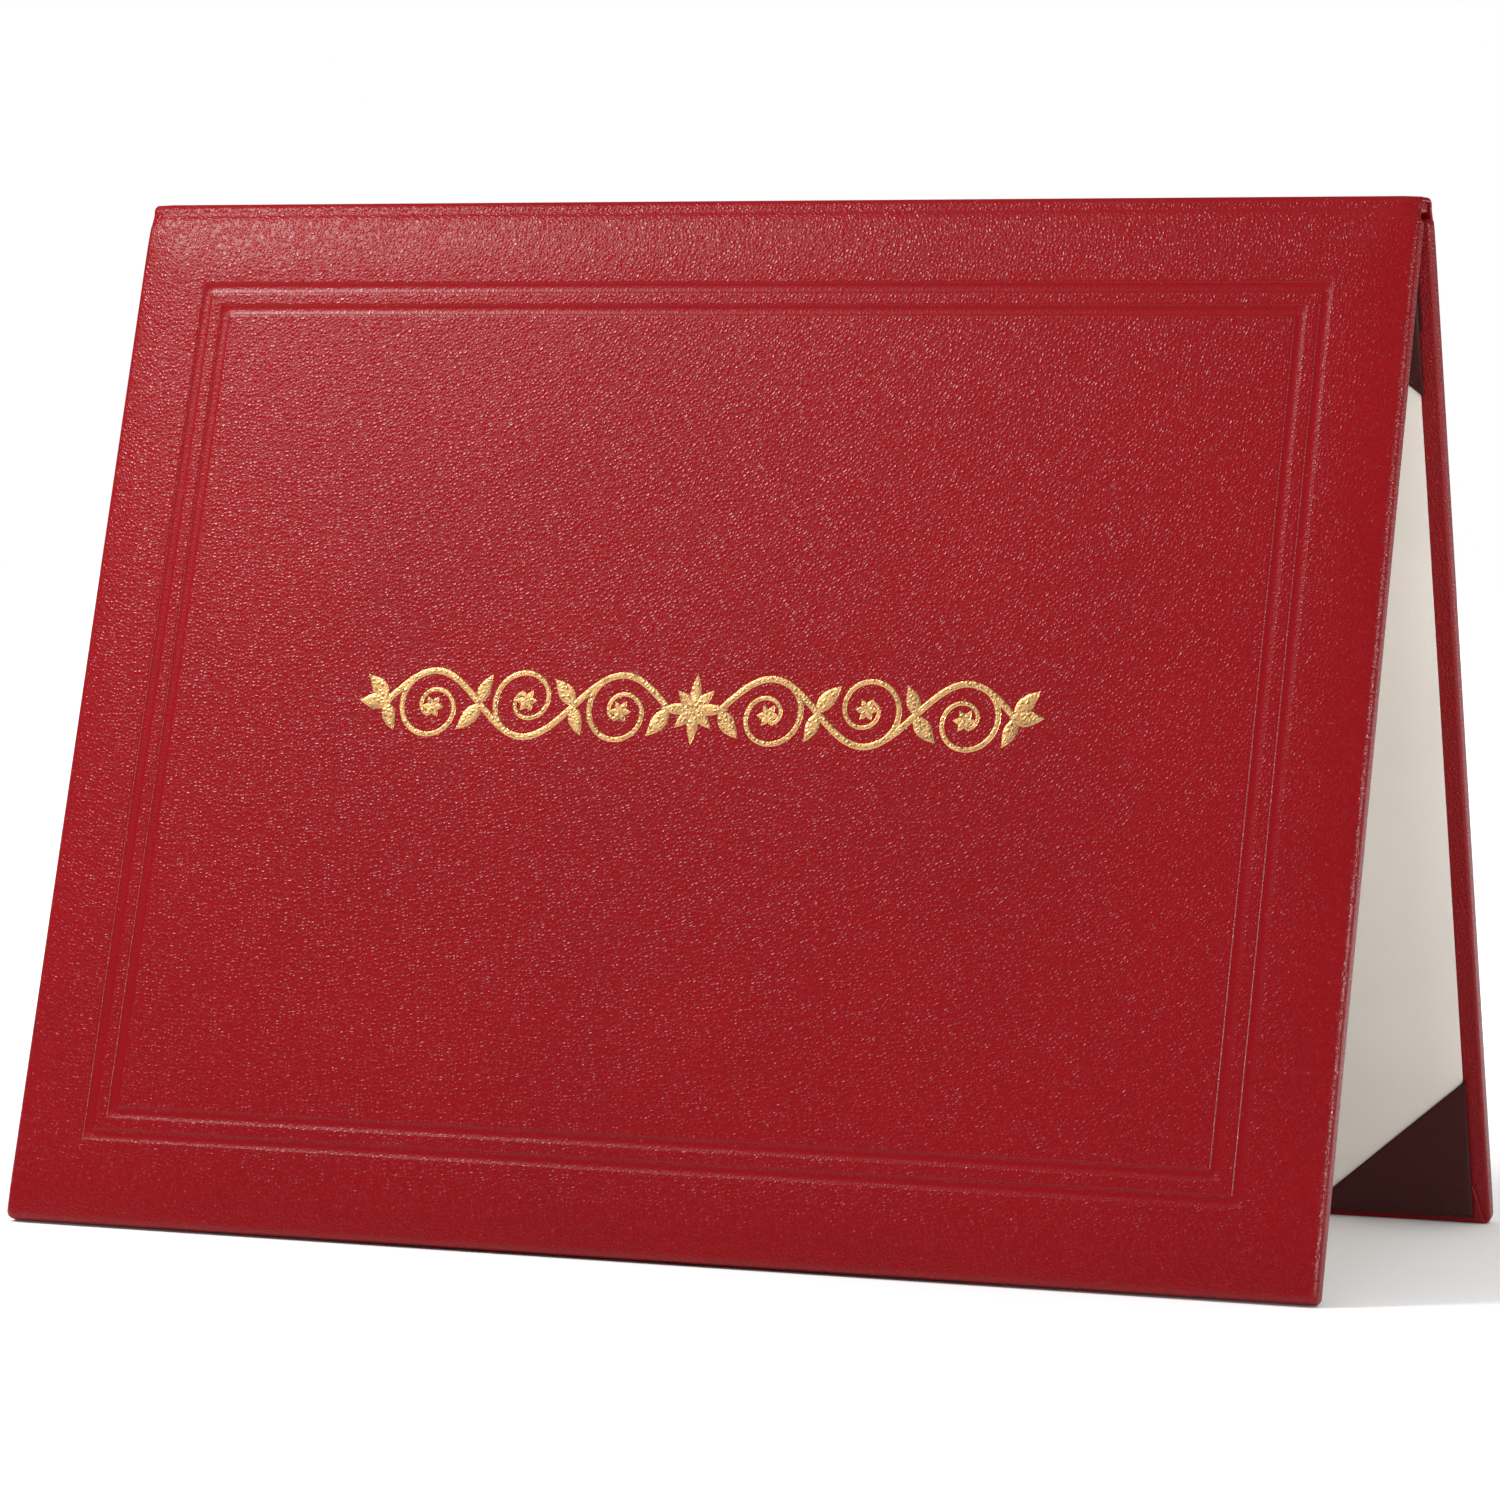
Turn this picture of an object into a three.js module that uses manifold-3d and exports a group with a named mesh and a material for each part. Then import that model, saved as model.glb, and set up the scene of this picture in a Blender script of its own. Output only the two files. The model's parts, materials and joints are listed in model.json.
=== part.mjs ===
// Padded leatherette diploma cover, standing open like a tent.
// Millimetres, +Z up, +X along the spine, the front cover faces -Y.
// The origin is on the ground, under the middle of the spine.

import * as THREE from 'three';
import { mergeVertices } from 'three/addons/utils/BufferGeometryUtils.js';
import Module from 'manifold-3d';

// Overall size
const COVER_WIDTH = 292.1;
const COVER_LENGTH = 227.2; // from the fold at the spine to the bottom edge
const STAND_ANGLE = 16.75; // lean of each cover in degrees

// Layers of a cover
const SKIN = 0.6;
const BOARD = 2.0;
const FOAM = 1.5;
const GLUE_GAP = 0.3; // between any two layers

// Padded edge
const CORNER_RADIUS = 1.5;
const CROWN_WIDTH = 10;
const CROWN_DROP = 0.8;
const EDGE_RADIUS = 1.2;
const INNER_EDGE_RADIUS = 0.8;
const TURN_IN = 15;
const HINGE_TUCK = 2.0; // turn-in along the hinge edge
const HINGE_LINING_WIDTH = 22;

// Blind-tooled double frame on the front
const FRAME_SIDE = 16.7;
const FRAME_TOP = 15.25;
const FRAME_BOTTOM = 17.8;
const FRAME_PITCH = 5.05;
const GROOVE_WIDTH = 2.4;
const GROOVE_DEPTH = 0.4;
const GROOVE_SLOPE = 0.3;
const GROOVE_CORNER = 0.5;

// Spine
const FOLD_DEPTH = 1.9; // fold lines below the outer faces
const SPINE_CREST = 2.5; // rise of the spine above the fold lines
const SPINE_BEND = 2.2;
const SPINE_FOOT = 0.9;
const SPINE_LINING = 0.5;
const FOLD_CLEARANCE = 0.35;

// Inside sheets and corner pockets
const CARD_SIDE_MARGIN = 4.05;
const CARD_TOP_MARGIN = 7.0; // from the fold
const CARD_BOTTOM_MARGIN = 2.6;
const CARD_CORNER = 0.5;
const CARD = 0.6;
const LINER = 0.4;
const POCKET = 0.35;
const POCKET_WIDTH = 37;
const POCKET_HEIGHT = 31.7;
const CLOSED_CLEARANCE = 0.35; // between the pockets and the front liner

// Gilt ornament
const ORNAMENT_WIDTH = 155;
const ORNAMENT_HEIGHT = 15.5;
const ORNAMENT_FROM_FOLD = 110.9;
const SCROLLS = 3; // on each side of the rosette
const PETALS = 8;
const PETAL_WIDTH = 2.5;
const STEM_WIDTH = 1.5;
const TENDRIL_WIDTH = 1.1;
const TENDRIL_TURN = 470; // degrees that each tendril winds
const FLOWER_RADIUS = 2.6;
const LEAF_LENGTH = 7.5;
const LEAF_WIDTH = 3.6;
const FOIL = 0.15;

// Worked out from the values above
const LEAN = THREE.MathUtils.degToRad(STAND_ANGLE);
const HALF_WIDTH = COVER_WIDTH / 2;
const BOARD_LOW = SKIN + GLUE_GAP;
const FOAM_LOW = BOARD_LOW + BOARD + GLUE_GAP;
const FOAM_TOP = FOAM_LOW + FOAM;
const THICKNESS = FOAM_TOP + GLUE_GAP + SKIN;
const FOLD_LEVEL = THICKNESS - FOLD_DEPTH;
const HINGE_EDGE = SPINE_FOOT + FOLD_CLEARANCE;
const CARD_FACE = GLUE_GAP + CARD;
const LINER_FACE = GLUE_GAP + LINER;
const POCKET_FACE = CARD_FACE + GLUE_GAP + POCKET;
const CLOSED_GAP = LINER_FACE + POCKET_FACE + CLOSED_CLEARANCE;
const HALF_SPINE = FOLD_LEVEL + CLOSED_GAP / 2;
const CARD_EDGE = HALF_WIDTH - CARD_SIDE_MARGIN;
const CARD_TOP = CARD_TOP_MARGIN;
const CARD_BOTTOM = COVER_LENGTH - CARD_BOTTOM_MARGIN;
const STEM_START = ORNAMENT_HEIGHT * 0.38;
const STEM_END = ORNAMENT_WIDTH / 2 - LEAF_LENGTH * 0.85;
const SCROLL_LENGTH = (STEM_END - STEM_START) / SCROLLS;
const SHOULDER = THICKNESS - CROWN_DROP * (1 - EDGE_RADIUS / CROWN_WIDTH) ** 2;

const ARC_STEPS = 4;
const CROWN_STEPS = 5;
const SCROLL_STEPS = 10;
const TENDRIL_STEPS = 20;
const LEAF_STEPS = 6;

const wasm = await Module();
wasm.setup();

// Materials
const leatherette = new THREE.MeshStandardMaterial({ color: 0x9c2a30, roughness: 0.45, metalness: 0 });
const liningCloth = new THREE.MeshStandardMaterial({ color: 0x5c1c1a, roughness: 0.6, metalness: 0 });
const pocketCloth = new THREE.MeshStandardMaterial({ color: 0x4a1a18, roughness: 0.6, metalness: 0 });
const greyboard = new THREE.MeshStandardMaterial({ color: 0x9a9084, roughness: 0.9, metalness: 0 });
const foam = new THREE.MeshStandardMaterial({ color: 0xe6e0d0, roughness: 0.95, metalness: 0 });
const creamPaper = new THREE.MeshStandardMaterial({ color: 0xd2c8bc, roughness: 0.85, metalness: 0 });
const giltFoil = new THREE.MeshStandardMaterial({ color: 0xc89a5a, roughness: 0.3, metalness: 1 });

// A cover hangs from its fold line: x is across, v is down from the fold, and height is
// measured outwards from the inner face. In the cover's own group that is X, -Z and Y.
function place(x, v, height) {
  return [x, height - FOLD_LEVEL, -v];
}

// Rounded rectangle inside the cover's outline, set in by the given amount on each side
function ring({ side, top, bottom, corner, height }) {
  const right = HALF_WIDTH - side;
  const low = HINGE_EDGE + top;
  const high = COVER_LENGTH - bottom;
  const centres = [
    [right - corner, high - corner, 0],
    [corner - right, high - corner, 1],
    [corner - right, low + corner, 2],
    [right - corner, low + corner, 3],
  ];
  const points = [];
  for (const [x, v, quarter] of centres) {
    for (let step = 0; step <= ARC_STEPS; step += 1) {
      const angle = (quarter + step / ARC_STEPS) * Math.PI / 2;
      points.push(place(x + corner * Math.cos(angle), v + corner * Math.sin(angle), height));
    }
  }
  return points;
}

// Same inset on all four sides; the corner radius shrinks with it
function evenRing(inset, height) {
  const corner = Math.max(CORNER_RADIUS - inset, GROOVE_CORNER);
  return ring({ side: inset, top: inset, bottom: inset, corner, height });
}

// Ring that runs parallel to the outer line of the tooled frame
function frameRing(offset, height) {
  return ring({
    side: FRAME_SIDE + offset,
    top: FRAME_TOP + offset,
    bottom: FRAME_BOTTOM + offset,
    corner: GROOVE_CORNER,
    height,
  });
}

// Closed solid skinned over rings of equal length, with a flat cap at both ends
function ringSolid(rings) {
  const count = rings[0].length;
  const positions = rings.flat(2);
  const triangles = [];
  for (let level = 0; level + 1 < rings.length; level += 1) {
    for (let i = 0; i < count; i += 1) {
      const next = (i + 1) % count;
      const a = level * count;
      const b = a + count;
      triangles.push(a + i, b + i, a + next, a + next, b + i, b + next);
    }
  }
  const last = (rings.length - 1) * count;
  for (let i = 1; i + 1 < count; i += 1) {
    triangles.push(0, i, i + 1);
    triangles.push(last, last + i + 1, last + i);
  }
  const geometry = new THREE.BufferGeometry();
  geometry.setAttribute('position', new THREE.Float32BufferAttribute(positions, 3));
  geometry.setIndex(triangles);
  geometry.computeVertexNormals();
  return geometry;
}

// Rings across the face from the field to the shoulder, lowered by depth
function faceRings(tooled, depth) {
  const rings = [];
  const grooves = tooled ? [FRAME_PITCH, 0] : [];
  for (const start of grooves) {
    const floor = THICKNESS - GROOVE_DEPTH - depth;
    rings.push(frameRing(start + GROOVE_WIDTH, THICKNESS - depth));
    rings.push(frameRing(start + GROOVE_WIDTH - GROOVE_SLOPE, floor));
    rings.push(frameRing(start + GROOVE_SLOPE, floor));
    rings.push(frameRing(start, THICKNESS - depth));
  }
  for (let step = 0; step <= CROWN_STEPS; step += 1) {
    const inset = THREE.MathUtils.lerp(CROWN_WIDTH, EDGE_RADIUS, step / CROWN_STEPS);
    const drop = CROWN_DROP * (1 - inset / CROWN_WIDTH) ** 2;
    rings.push(evenRing(inset, THICKNESS - drop - depth));
  }
  return rings;
}

// Rings round the outer edge, from the shoulder down to the wall
function edgeRings(wall, radius) {
  const rings = [];
  for (let step = 1; step <= ARC_STEPS; step += 1) {
    const angle = step / ARC_STEPS * Math.PI / 2;
    const rise = radius * Math.cos(angle);
    rings.push(evenRing(wall + radius * (1 - Math.sin(angle)), SHOULDER - EDGE_RADIUS + rise));
  }
  return rings;
}

// Leatherette wrapped over the padding, round the board's edges and turned in behind
function coverSkin(tooled) {
  const rings = [...faceRings(tooled, 0), ...edgeRings(0, EDGE_RADIUS)];
  for (let step = 0; step <= ARC_STEPS; step += 1) {
    const angle = step / ARC_STEPS * Math.PI / 2;
    const inset = INNER_EDGE_RADIUS * (1 - Math.cos(angle));
    rings.push(evenRing(inset, INNER_EDGE_RADIUS * (1 - Math.sin(angle))));
  }
  const turnIn = { side: TURN_IN, top: HINGE_TUCK, bottom: TURN_IN, corner: GROOVE_CORNER };
  rings.push(ring({ ...turnIn, height: 0 }), ring({ ...turnIn, height: SKIN }));
  rings.push(evenRing(SKIN, SKIN));
  rings.push(...edgeRings(SKIN, EDGE_RADIUS - SKIN).reverse());
  rings.push(...faceRings(tooled, SKIN).reverse());
  return ringSolid(rings);
}

// Thin foam pad glued to the board, pressed down under the tooled lines
function coverFoam(tooled) {
  const rings = faceRings(tooled, SKIN + GLUE_GAP);
  rings.push(evenRing(EDGE_RADIUS, FOAM_LOW));
  return ringSolid(rings);
}

// Flat sheet of a cover between two heights, from an outline drawn in x and -v
function sheet(outline, low, high) {
  const geometry = new THREE.ExtrudeGeometry(outline, {
    depth: high - low, bevelEnabled: false, curveSegments: ARC_STEPS,
  });
  geometry.rotateX(Math.PI / 2);
  geometry.translate(0, high - FOLD_LEVEL, 0);
  return geometry;
}

function roundedOutline(halfWidth, top, bottom, corner) {
  const outline = new THREE.Shape();
  outline.moveTo(corner - halfWidth, -bottom);
  outline.lineTo(halfWidth - corner, -bottom);
  outline.absarc(halfWidth - corner, corner - bottom, corner, -Math.PI / 2, 0);
  outline.lineTo(halfWidth, -top - corner);
  outline.absarc(halfWidth - corner, -top - corner, corner, 0, Math.PI / 2);
  outline.lineTo(corner - halfWidth, -top);
  outline.absarc(corner - halfWidth, -top - corner, corner, Math.PI / 2, Math.PI);
  outline.lineTo(-halfWidth, corner - bottom);
  outline.absarc(corner - halfWidth, corner - bottom, corner, Math.PI, Math.PI * 1.5);
  return outline;
}

function polygonOutline(points) {
  return new THREE.Shape(points.map(([x, v]) => new THREE.Vector2(x, -v)));
}

function coverBoard() {
  const inset = SKIN + GLUE_GAP;
  const outline = roundedOutline(
    HALF_WIDTH - inset, HINGE_EDGE + inset, COVER_LENGTH - inset, GROOVE_CORNER,
  );
  return sheet(outline, BOARD_LOW, BOARD_LOW + BOARD);
}

// Lining cloth glued on the board beside the hinge, between the turn-ins
function hingeLining() {
  const top = HINGE_EDGE + HINGE_TUCK + GLUE_GAP;
  const halfWidth = HALF_WIDTH - TURN_IN - GLUE_GAP;
  return sheet(roundedOutline(halfWidth, top, top + HINGE_LINING_WIDTH, GROOVE_CORNER), 0, SKIN);
}

function insideSheet(thickness) {
  const outline = roundedOutline(CARD_EDGE, CARD_TOP, CARD_BOTTOM, CARD_CORNER);
  return sheet(outline, -GLUE_GAP - thickness, -GLUE_GAP);
}

function toSolid(geometry) {
  const bare = geometry.clone();
  bare.deleteAttribute('normal');
  bare.deleteAttribute('uv');
  const merged = mergeVertices(bare, 1e-4);
  return new wasm.Manifold(new wasm.Mesh({
    numProp: 3,
    vertProperties: new Float32Array(merged.attributes.position.array),
    triVerts: new Uint32Array(merged.index.array),
  }));
}

function joined(geometries) {
  const solid = geometries.map(toSolid).reduce((sum, next) => sum.add(next));
  const mesh = solid.getMesh();
  const geometry = new THREE.BufferGeometry();
  geometry.setAttribute('position', new THREE.Float32BufferAttribute(mesh.vertProperties, 3));
  geometry.setIndex(Array.from(mesh.triVerts));
  geometry.computeVertexNormals();
  return geometry;
}

// Triangular pocket over one corner of the card, with flanges down past the card's edges
function cornerPocket(right, low) {
  const edge = GLUE_GAP + POCKET;
  const tip = 2 * POCKET;
  const cornerAt = (out, down) => [
    right * (CARD_EDGE + out),
    low > 0 ? CARD_BOTTOM + down : CARD_TOP - down,
  ];
  const face = polygonOutline([
    cornerAt(edge, edge),
    cornerAt(edge, tip - POCKET_HEIGHT), cornerAt(GLUE_GAP, tip - POCKET_HEIGHT),
    cornerAt(tip - POCKET_WIDTH, GLUE_GAP), cornerAt(tip - POCKET_WIDTH, edge),
  ]);
  const sideFlange = polygonOutline([
    cornerAt(GLUE_GAP, edge), cornerAt(edge, edge),
    cornerAt(edge, tip - POCKET_HEIGHT), cornerAt(GLUE_GAP, tip - POCKET_HEIGHT),
  ]);
  const endFlange = polygonOutline([
    cornerAt(edge, GLUE_GAP), cornerAt(edge, edge),
    cornerAt(tip - POCKET_WIDTH, edge), cornerAt(tip - POCKET_WIDTH, GLUE_GAP),
  ]);
  return joined([
    sheet(face, -POCKET_FACE, POCKET - POCKET_FACE),
    sheet(sideFlange, -POCKET_FACE, -GLUE_GAP),
    sheet(endFlange, -POCKET_FACE, -GLUE_GAP),
  ]);
}

// Arched strip over the spine, open below, between the two fold lines
function spineArch(inset, thickness) {
  const arch = (inward) => {
    const half = HALF_SPINE - inward;
    const crest = SPINE_CREST - inward;
    const bend = SPINE_BEND - inward;
    const path = new THREE.Path();
    path.moveTo(-half, -SPINE_FOOT);
    path.lineTo(-half, crest - bend);
    path.absarc(bend - half, crest - bend, bend, Math.PI, Math.PI / 2, true);
    path.lineTo(half - bend, crest);
    path.absarc(half - bend, crest - bend, bend, Math.PI / 2, 0, true);
    path.lineTo(half, -SPINE_FOOT);
    return path.getPoints(2 * ARC_STEPS);
  };
  const outline = new THREE.Shape([...arch(inset), ...arch(inset + thickness).reverse()]);
  const geometry = new THREE.ExtrudeGeometry(outline, { depth: COVER_WIDTH, bevelEnabled: false });
  const alongX = new THREE.Matrix4().makeBasis(
    new THREE.Vector3(0, 1, 0), new THREE.Vector3(0, 0, 1), new THREE.Vector3(1, 0, 0),
  );
  geometry.applyMatrix4(alongX);
  geometry.translate(-HALF_WIDTH, 0, 0);
  return geometry;
}

// The ornament is drawn to the right of its middle, x outwards and y up, and mirrored
function stemPoint(scrolls) {
  const height = (ORNAMENT_HEIGHT - STEM_WIDTH) / 2 * Math.sin(Math.PI * scrolls);
  return [STEM_START + scrolls * SCROLL_LENGTH, height];
}

// Centre of the flower that each scroll winds round
function flowerCentre(scroll) {
  const crest = scroll % 2 === 0 ? 1 : -1;
  return [stemPoint(scroll + 0.5)[0], -crest * 0.06 * ORNAMENT_HEIGHT];
}

// Spiral that leaves the stem beyond a crest and winds in to the flower
function tendrilPoints(scroll) {
  const crest = scroll % 2 === 0 ? 1 : -1;
  const [x, y] = flowerCentre(scroll);
  const [rootX, rootY] = stemPoint(scroll + 0.7);
  const radius = Math.hypot(rootX - x, rootY - y);
  const angle = Math.atan2(crest * (rootY - y), rootX - x);
  const points = [];
  for (let step = 0; step <= TENDRIL_STEPS; step += 1) {
    const share = step / TENDRIL_STEPS;
    const turned = angle - THREE.MathUtils.degToRad(TENDRIL_TURN) * share;
    const reach = THREE.MathUtils.lerp(radius, FLOWER_RADIUS * 0.75, share);
    points.push([x + reach * Math.cos(turned), y + crest * reach * Math.sin(turned)]);
  }
  return points;
}

// Ribbon of one width along a line of points
function ribbon(points, width) {
  const left = [];
  const right = [];
  points.forEach(([x, y], index) => {
    const before = points[Math.max(index - 1, 0)];
    const after = points[Math.min(index + 1, points.length - 1)];
    const run = [after[0] - before[0], after[1] - before[1]];
    const scale = width / 2 / Math.hypot(...run);
    left.push([x - run[1] * scale, y + run[0] * scale]);
    right.push([x + run[1] * scale, y - run[0] * scale]);
  });
  return [...left, ...right.reverse()];
}

// Pointed leaf from its root along an angle, its tip bent sideways by a share of its length
function leaf([x, y], degrees, length, width, bend = 0) {
  const angle = THREE.MathUtils.degToRad(degrees);
  const at = (share, side) => {
    const along = share * length;
    const across = bend * length * share ** 2 + side * width / 2 * Math.sin(Math.PI * share ** 0.8);
    return [
      x + along * Math.cos(angle) - across * Math.sin(angle),
      y + along * Math.sin(angle) + across * Math.cos(angle),
    ];
  };
  const shares = Array.from({ length: LEAF_STEPS - 1 }, (_, step) => (step + 1) / LEAF_STEPS);
  return [
    at(0, 0), ...shares.map((share) => at(share, 1)),
    at(1, 0), ...shares.reverse().map((share) => at(share, -1)),
  ];
}

// Six-pointed flower
function flower([x, y]) {
  return Array.from({ length: 12 }, (_, corner) => {
    const radius = FLOWER_RADIUS * (corner % 2 === 0 ? 1 : 0.5);
    const angle = corner * Math.PI / 6;
    return [x + radius * Math.cos(angle), y + radius * Math.sin(angle)];
  });
}

// Two leaves that grow to both sides from the stem where it crosses the middle line
function leafPair(crossing, up) {
  const root = stemPoint(crossing);
  return [
    leaf(root, up * 60, LEAF_LENGTH, LEAF_WIDTH, -0.18 * up),
    leaf(root, -up * 100, LEAF_LENGTH * 0.9, LEAF_WIDTH * 0.85, -0.18 * up),
  ];
}

// Everything to the right of the rosette
function scrollOutlines() {
  const stem = [];
  for (let step = 0; step <= SCROLLS * SCROLL_STEPS; step += 1) {
    stem.push(stemPoint(step / SCROLL_STEPS));
  }
  const outlines = [ribbon(stem, STEM_WIDTH)];
  for (let scroll = 0; scroll < SCROLLS; scroll += 1) {
    outlines.push(ribbon(tendrilPoints(scroll), TENDRIL_WIDTH), flower(flowerCentre(scroll)));
    const descending = scroll % 2 === 0 ? 1 : -1;
    outlines.push(...leafPair(scroll + 1, descending));
  }
  outlines.push(leaf(stemPoint(0), -62, LEAF_LENGTH, LEAF_WIDTH, 0.15));
  outlines.push(leaf([ORNAMENT_WIDTH / 2 - LEAF_LENGTH, 0], 0, LEAF_LENGTH, LEAF_WIDTH));
  return outlines;
}

// Gilt vine scroll with a rosette in the middle, stamped as one piece of foil
function giltOrnament() {
  const outlines = [];
  for (let petal = 0; petal < PETALS; petal += 1) {
    const length = ORNAMENT_HEIGHT / 2 * (petal % 2 === 0 ? 1 : 0.75);
    outlines.push(leaf([0, 0], petal / PETALS * 360, length, PETAL_WIDTH));
  }
  for (const outline of scrollOutlines()) {
    outlines.push(outline, outline.map(([x, y]) => [-x, y]));
  }
  const low = THICKNESS + GLUE_GAP;
  return joined(outlines.map((outline) => {
    const placed = outline.map(([x, y]) => [x, ORNAMENT_FROM_FOLD - y]);
    return sheet(polygonOutline(placed), low, low + FOIL);
  }));
}

function named(name, geometry, material) {
  const mesh = new THREE.Mesh(geometry, material);
  mesh.name = name;
  return mesh;
}

// Group whose origin is on the fold line and whose outer face looks along +Y
function hangingCover(meshes) {
  const cover = new THREE.Group();
  cover.rotation.x = LEAN;
  cover.position.y = HALF_SPINE;
  cover.add(...meshes);
  const side = new THREE.Group();
  side.add(cover);
  return side;
}

const frontCover = hangingCover([
  named('front_skin', coverSkin(true), leatherette),
  named('front_foam', coverFoam(true), foam),
  named('front_board', coverBoard(), greyboard),
  named('front_hinge_lining', hingeLining(), liningCloth),
  named('front_liner', insideSheet(LINER), creamPaper),
  named('gilt_ornament', giltOrnament(), giltFoil),
]);
frontCover.rotation.z = Math.PI;

const backCover = hangingCover([
  named('back_skin', coverSkin(false), leatherette),
  named('back_foam', coverFoam(false), foam),
  named('back_board', coverBoard(), greyboard),
  named('back_hinge_lining', hingeLining(), liningCloth),
  named('back_card', insideSheet(CARD), creamPaper),
  named('pocket_top_left', cornerPocket(-1, -1), pocketCloth),
  named('pocket_top_right', cornerPocket(1, -1), pocketCloth),
  named('pocket_bottom_left', cornerPocket(-1, 1), pocketCloth),
  named('pocket_bottom_right', cornerPocket(1, 1), pocketCloth),
]);

const tent = new THREE.Group();
tent.add(
  frontCover,
  backCover,
  named('spine_skin', spineArch(0, SKIN), leatherette),
  named('spine_lining', spineArch(SKIN + GLUE_GAP, SPINE_LINING), liningCloth),
);
const reach = new THREE.Box3().setFromObject(tent, true);
tent.position.z = -reach.min.z;

const diplomaCover = new THREE.Group();
diplomaCover.name = 'diploma_cover';
diplomaCover.add(tent);

export default diplomaCover;
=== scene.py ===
"""Looks of a padded leatherette diploma cover that stands open like a tent.

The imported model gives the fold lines, the lean and the width, and its boards and foam stay. This
script makes the padded leather with its tooled frame, the hinge lining, the card and liner, the
corner pockets and the gilt scroll, then the floor, lights and camera. Panel sizes are in
millimetres: x across, v down from the fold line, n outwards from a cover's inner face.
"""

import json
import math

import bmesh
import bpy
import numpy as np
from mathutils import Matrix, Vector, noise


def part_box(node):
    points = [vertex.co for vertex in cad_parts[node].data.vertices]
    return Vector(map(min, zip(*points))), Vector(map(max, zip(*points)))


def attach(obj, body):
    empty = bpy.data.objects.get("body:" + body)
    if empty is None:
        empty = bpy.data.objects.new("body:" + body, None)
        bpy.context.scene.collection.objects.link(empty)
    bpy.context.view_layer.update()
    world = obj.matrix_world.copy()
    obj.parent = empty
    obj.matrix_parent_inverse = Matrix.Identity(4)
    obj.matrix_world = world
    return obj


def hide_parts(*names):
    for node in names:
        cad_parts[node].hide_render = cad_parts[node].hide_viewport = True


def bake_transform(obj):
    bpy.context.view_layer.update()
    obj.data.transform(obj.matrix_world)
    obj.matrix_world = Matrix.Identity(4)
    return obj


bl_info = {
    "name": "Diploma cover",
    "version": (1, 0, 0),
    "blender": (4, 5, 0),
    "location": "View3D > Sidebar > Diploma cover",
    "description": "Makes the leather, gilding, card and stage of a padded diploma cover",
    "category": "Object",
}

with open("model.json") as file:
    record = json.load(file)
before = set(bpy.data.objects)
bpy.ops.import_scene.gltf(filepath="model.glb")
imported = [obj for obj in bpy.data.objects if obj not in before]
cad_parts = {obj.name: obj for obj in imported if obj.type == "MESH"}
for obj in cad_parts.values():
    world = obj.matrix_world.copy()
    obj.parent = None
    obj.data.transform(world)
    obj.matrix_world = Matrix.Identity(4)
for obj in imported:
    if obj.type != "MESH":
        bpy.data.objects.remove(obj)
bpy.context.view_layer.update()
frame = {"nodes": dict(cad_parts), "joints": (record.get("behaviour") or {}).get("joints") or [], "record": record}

MM = 0.001
JOINTS = {joint["name"]: joint for joint in frame["joints"]}
FOLD = JOINTS["back_hinge"]["pos_m"]
FACE = frame["record"]["mounts"][0]
LEAN = math.asin(FACE["axis"][2])
FACE_RISE = Vector(FACE["pos_m"]).dot(Vector(FACE["axis"])) - Vector(FOLD).dot(Vector(FACE["axis"]))
FRONT = -1
BACK = 1

# The spine's strip: depth of its hem, and how far its ends round off and stay in from the side
SPINE_HEM = 0.5
SPINE_ROUNDING = 1.6
SPINE_INSET = 0.2
SPINE_STEP = 4.0
# Inset from the strip's end, and depth, of the leather folded under there
SPINE_FOLD = ((3.6, 0.85), (2.0, 2 * SPINE_HEM), (SPINE_HEM, 2 * SPINE_HEM))
# Places down a cover, and lift off its face, of the leather that runs from the spine onto it
JOINT_LIFTS = ((0.55, -0.12), (1.2, 0.02), (2.0, 0.06), (2.9, 0.05), (3.8, 0.02), (4.8, -0.05))
# Share of the strip's own depth by which its lower side lies under that face
JOINT_DEPTH = 0.9
# Half outline of a spine end's fold from its middle, as y and z off the fold, and its middle's z
END_OUTLINE = ((0.0, -0.88), (1.5, -0.85), (2.9, -0.7), (3.6, -0.2), (3.85, 0.6), (3.8, 1.6))
END_MIDDLE = 0.45
# Inset from the cover's side, and share of the outline, of each row of that fold
END_ROWS = ((3.2, 0.02), (3.2, 1.0), (1.6, 1.0), (1.15, 0.98), (0.9, 0.91), (0.78, 0.78),
            (0.74, 0.4), (0.74, 0.02))

# Edge of the folded-over ends of the bottom turn-in, from the cover's corner: x inwards, v up
CORNER_FOLD = ((12.55, 22.2), (6.05, 13.6), (4.05, 10.1), (2.95, 7.8), (2.05, 4.2), (1.15, 0.8))
CORNER_FOLD_REACH = 14.0
# How far the fold stands off the board: under the card's edge, and beyond it by a clearance
CORNER_FOLD_LOW = 0.24
CORNER_FOLD_HIGH = 0.75
CARD_CLEARANCE = 0.6

# Edges sharper than this are shaded sharp on leather and cloth, and on card and paper
SHEET_SHARP = math.radians(65)
PAPER_SHARP = math.radians(40)


def size_in_mm(name, description, millimetres):
    """Setting of a length, with its default."""
    return bpy.props.FloatProperty(
        name=name, description=description, default=millimetres * MM, unit="LENGTH")


def finish_color(name, description, color):
    """Setting of a colour, with its default."""
    return bpy.props.FloatVectorProperty(
        name=name, description=description, subtype="COLOR", size=3, default=color)


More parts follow.
